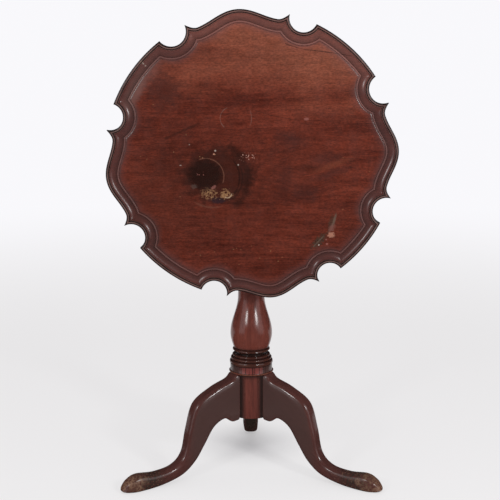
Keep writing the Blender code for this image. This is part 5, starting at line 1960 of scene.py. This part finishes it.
BURNT_RING = (
    Blot(SMOKE, 0.30, (-0.195, -0.085), (0.085, 0.105), 0.0, 1.2, 0.7),
    Blot(SMOKE, 0.30, (-0.085, -0.050), (0.135, 0.100), 0.0, 1.2, 0.6),
    Scratch(SMOKE, 0.65, (-0.187, 0.040), (-0.114, 0.072), 0.0055),
    Blot(SMOKE, 0.78, (-0.072, -0.042), (0.081, 0.058), 0.0, 0.9, 0.25),
    Crescent(BURN, 0.45, (-0.0830, -0.0450), 0.0760, 0.0180, (1.0, 0.10), 0.45),
    Blot(BURN, 0.70, (-0.1010, -0.0400), (0.0370, 0.0330), 0.0, 0.8, 0.30, 90.0),
    Crescent(BURN, 0.60, (-0.0850, -0.0458), 0.0589, 0.0034, (1.0, 0.0), 0.72),
    Crescent(BURN, 0.45, (-0.0850, -0.0458), 0.0650, 0.0028, (0.98, -0.20), 0.80),
    Crescent(RUST, 0.55, (-0.1003, -0.0436), 0.0399, 0.0018, (0.7071, 0.7071), 0.36),
    Crescent(RUST, 0.30, (-0.0850, -0.0400), 0.0720, 0.0035, (-0.15, -0.99), 0.86),
    Blot(PLUM, 0.75, (-0.0735, -0.0965), (0.0160, 0.0065), 0.0, 1.6, 0.4, 120.0),
    Crackle(CHIP, 0.60, (-0.0930, -0.0818), (0.0165, 0.0110), 0.0, 2.6, 0.30, 190.0, 190.0, 0.20),
    Flakes(CHIP, 0.90, (-0.0880, -0.0830), (0.0140, 0.0100), 0.0, 1.4, 0.30, 120.0, 330.0, 0.45, 0.85),
    Crackle(CHIP, 0.80, (-0.0560, -0.0830), (0.0120, 0.0100), 0.0, 2.6, 0.30, 190.0, 170.0, 0.24),
    Blot(CHIP, 0.55, (-0.0600, -0.0860), (0.0075, 0.0036), 10.0, 2.6, 0.35, 190.0),
    Crescent(CREAM, 0.75, (-0.0530, -0.0815), 0.0092, 0.0016, (0.45, -0.89), 0.40),
    Blot(PINK, 0.55, (-0.0830, -0.0676), (0.0060, 0.0030), 20.0, 2.6, 0.40, 190.0),
    Blot(ASH, 0.40, (-0.1264, -0.0654), (0.0060, 0.0045), 0.0, 2.6, 0.4, 190.0),
    Blot(PALE_NICK, 0.65, (-0.0790, 0.0130), (0.0020, 0.0018)),
    Blot(PEACH, 0.85, (-0.0820, 0.0054), (0.0020, 0.0018)),
    Blot(PALE_NICK, 0.55, (-0.0290, -0.0180), (0.0019, 0.0016)),
    Blot(PALE_NICK, 0.45, (-0.1550, -0.0190), (0.0024, 0.0012)),
    Flakes(PINK, 0.80, (-0.1095, -0.0380), (0.0090, 0.0045), 0.0, 0.8, 0.3, 55.0, 300.0, 0.60, 0.8),
    Flakes(ROSE, 0.85, (-0.0070, -0.0010), (0.0185, 0.0100), 0.0, 0.5, 0.3, 55.0, 260.0, 0.65, 0.75),
    Flakes(CHIP, 0.60, (-0.0900, 0.0050), (0.0400, 0.0120), 0.0, 0.3, 0.3, 55.0, 150.0, 0.16, 0.45),
)
SCATTERED_CHIPS = (
    Flakes(PALE_NICK, 0.45, (0.0, 0.0), (0.270, 0.270), 0.0, 0.2, 0.2, 55.0, 36.0, 0.14, 0.11),
    Flakes(CHIP, 0.50, (0.0, 0.0), (0.280, 0.280), 0.0, 0.2, 0.2, 55.0, 70.0, 0.12, 0.20),
    Flakes(CHIP, 0.60, (-0.010, -0.218), (0.150, 0.022), 0.0, 0.6, 0.3, 55.0, 120.0, 0.24, 0.34),
)
FLAKED_MARK = (
    Blot(MOSS, 0.55, (0.1760, -0.1440), (0.0150, 0.0050), 70.0, 2.4, 0.60, 230.0),
    Blot(FILLER, 0.80, (0.1824, -0.1410), (0.0145, 0.0026), 74.0, 1.2, 0.50, 200.0),
    Blot(BLUSH, 0.75, (0.1768, -0.1590), (0.0095, 0.0048), 62.0, 3.0, 0.50, 230.0),
    Blot(PEACH, 0.65, (0.1762, -0.1735), (0.0078, 0.0058), 12.0, 2.0, 0.35, 230.0),
    Flakes(DARK_LINE, 0.85, (0.1755, -0.1725), (0.0080, 0.0065), 0.0, 0.6, 0.30, 120.0, 210.0, 0.60, 0.90),
    Blot(MOSS, 0.75, (0.1489, -0.1875), (0.0180, 0.0075), 46.0, 3.2, 0.45, 230.0),
    Flakes(BURN, 0.80, (0.1489, -0.1875), (0.0170, 0.0080), 46.0, 0.8, 0.30, 120.0, 240.0, 0.50, 0.8),
    Scratch(FILLER, 0.65, (0.1373, -0.1995), (0.1591, -0.1766), 0.0022),
    Scratch(MOSS, 0.60, (0.1600, -0.1760), (0.1720, -0.1640), 0.0030),
    Blot(PALE_NICK, 0.80, (0.1490, -0.1962), (0.0018, 0.0016)),
    Blot(PINK, 0.75, (0.1670, -0.1940), (0.0026, 0.0020)),
    Blot(PINK, 0.60, (0.1650, -0.1840), (0.0022, 0.0018)),
)
OLD_SCRATCHES = (
    Crescent(PALE_NICK, 0.16, (-0.0435, 0.0835), 0.0245, 0.0012, (-0.99, 0.15), 0.45),
    Crescent(PALE_NICK, 0.13, (-0.0455, 0.0840), 0.0455, 0.0012, (1.0, 0.0), 0.88),
    Blot(PINK, 0.60, (0.1190, 0.0820), (0.0050, 0.0030)),
    Scratch(DARK_LINE, 0.80, (0.072, 0.243), (0.107, 0.232), 0.0016),
    Scratch(DARK_LINE, 0.80, (0.107, 0.232), (0.172, 0.224), 0.0016),
    Scratch(DARK_LINE, 0.70, (0.172, 0.224), (0.215, 0.217), 0.0014),
    Scratch(DARK_LINE, 0.55, (0.000, 0.103), (0.050, 0.088), 0.0013),
    Scratch(DARK_LINE, 0.55, (0.050, 0.088), (0.084, 0.082), 0.0013),
    Blot(CHIP, 0.70, (-0.2390, 0.2050), (0.0060, 0.0040)),
)
MARKS = (*UPPER_LEFT, *SWIRL, *BURNT_RING, *SCATTERED_CHIPS, *FLAKED_MARK, *OLD_SCRATCHES)

OLD_TOP = TopFinish(
    "old_top_polish", (0.190, 0.034, 0.0165, 1.0), (0.066, 0.010, 0.0050, 1.0),
    figure=0.55, streak=0.40, pores=0.30, gloss=0.27, specular=0.40, bump=0.08,
    # On the top the colour of the worn places is the pale colour of painted highlights on the moulding.
    bare_and_highlight=(0.260, 0.150, 0.125, 1.0), centre=TOP_MIDDLE, marks=MARKS,
    knots=(Knot((0.115, -0.025), (0.100, 0.095), 0.85),))
DRY_UNDERSIDE = WoodFinish(
    "dry_underside", (0.150, 0.062, 0.030, 1.0), (0.062, 0.024, 0.013, 1.0),
    figure=0.6, streak=0.8, pores=0.7, gloss=0.68, specular=0.25, bump=0.5)
COLUMN_POLISH = ColumnFinish(
    "column_polish", (0.200, 0.052, 0.037, 1.0), (0.088, 0.024, 0.019, 1.0),
    figure=0.5, streak=0.42, pores=0.35, gloss=0.20, bump=0.08, grain=GrainAxis.Z)
LEG_POLISH = LegFinish(
    "leg_polish", (0.119, 0.042, 0.035, 1.0), (0.059, 0.0222, 0.0193, 1.0),
    figure=0.3, streak=0.3, pores=0.3, gloss=0.20, bump=0.10, grime_and_shade=(0.030, 0.024, 0.017, 1.0),
    bare_and_highlight=(0.260, 0.140, 0.082, 1.0))
BLOCK_WOOD = WoodFinish(
    "block_wood", (0.250, 0.125, 0.058, 1.0), (0.105, 0.046, 0.022, 1.0),
    figure=0.6, streak=0.8, pores=0.5, gloss=0.62, specular=0.3, bump=0.5)
BATTEN_WOOD = WoodFinish(
    "batten_wood", (0.225, 0.110, 0.052, 1.0), (0.090, 0.040, 0.020, 1.0),
    figure=0.6, streak=0.8, pores=0.5, gloss=0.60, specular=0.3, bump=0.5, grain=GrainAxis.Z)
OLD_BRASS = MetalFinish("old_brass", (0.60, 0.42, 0.17, 1.0), (0.17, 0.11, 0.05, 1.0), 0.75, 0.30)
OLD_STEEL = MetalFinish("old_steel", (0.30, 0.29, 0.28, 1.0), (0.085, 0.070, 0.060, 1.0), 0.80, 0.40)


def main() -> None:
    """Build and dress every part of the table, and the studio round it."""
    logging.basicConfig(level=logging.INFO, format="%(message)s")
    fx = Effects()
    lathe = Lathe()
    joint = DovetailJoint()
    PiecrustTop(OLD_TOP, DRY_UNDERSIDE).build(fx)
    TurnedColumn(COLUMN_POLISH, joint, tuple(LEG_TURNS.values())).build(fx, lathe)
    CabrioleLegs(LEG_POLISH, joint, LEG_TURNS).build(fx, lathe)
    TiltFittings(BLOCK_WOOD, BATTEN_WOOD, OLD_BRASS, OLD_STEEL).build(fx, lathe)
    Studio().build()


if __name__ == "__main__":
    main()
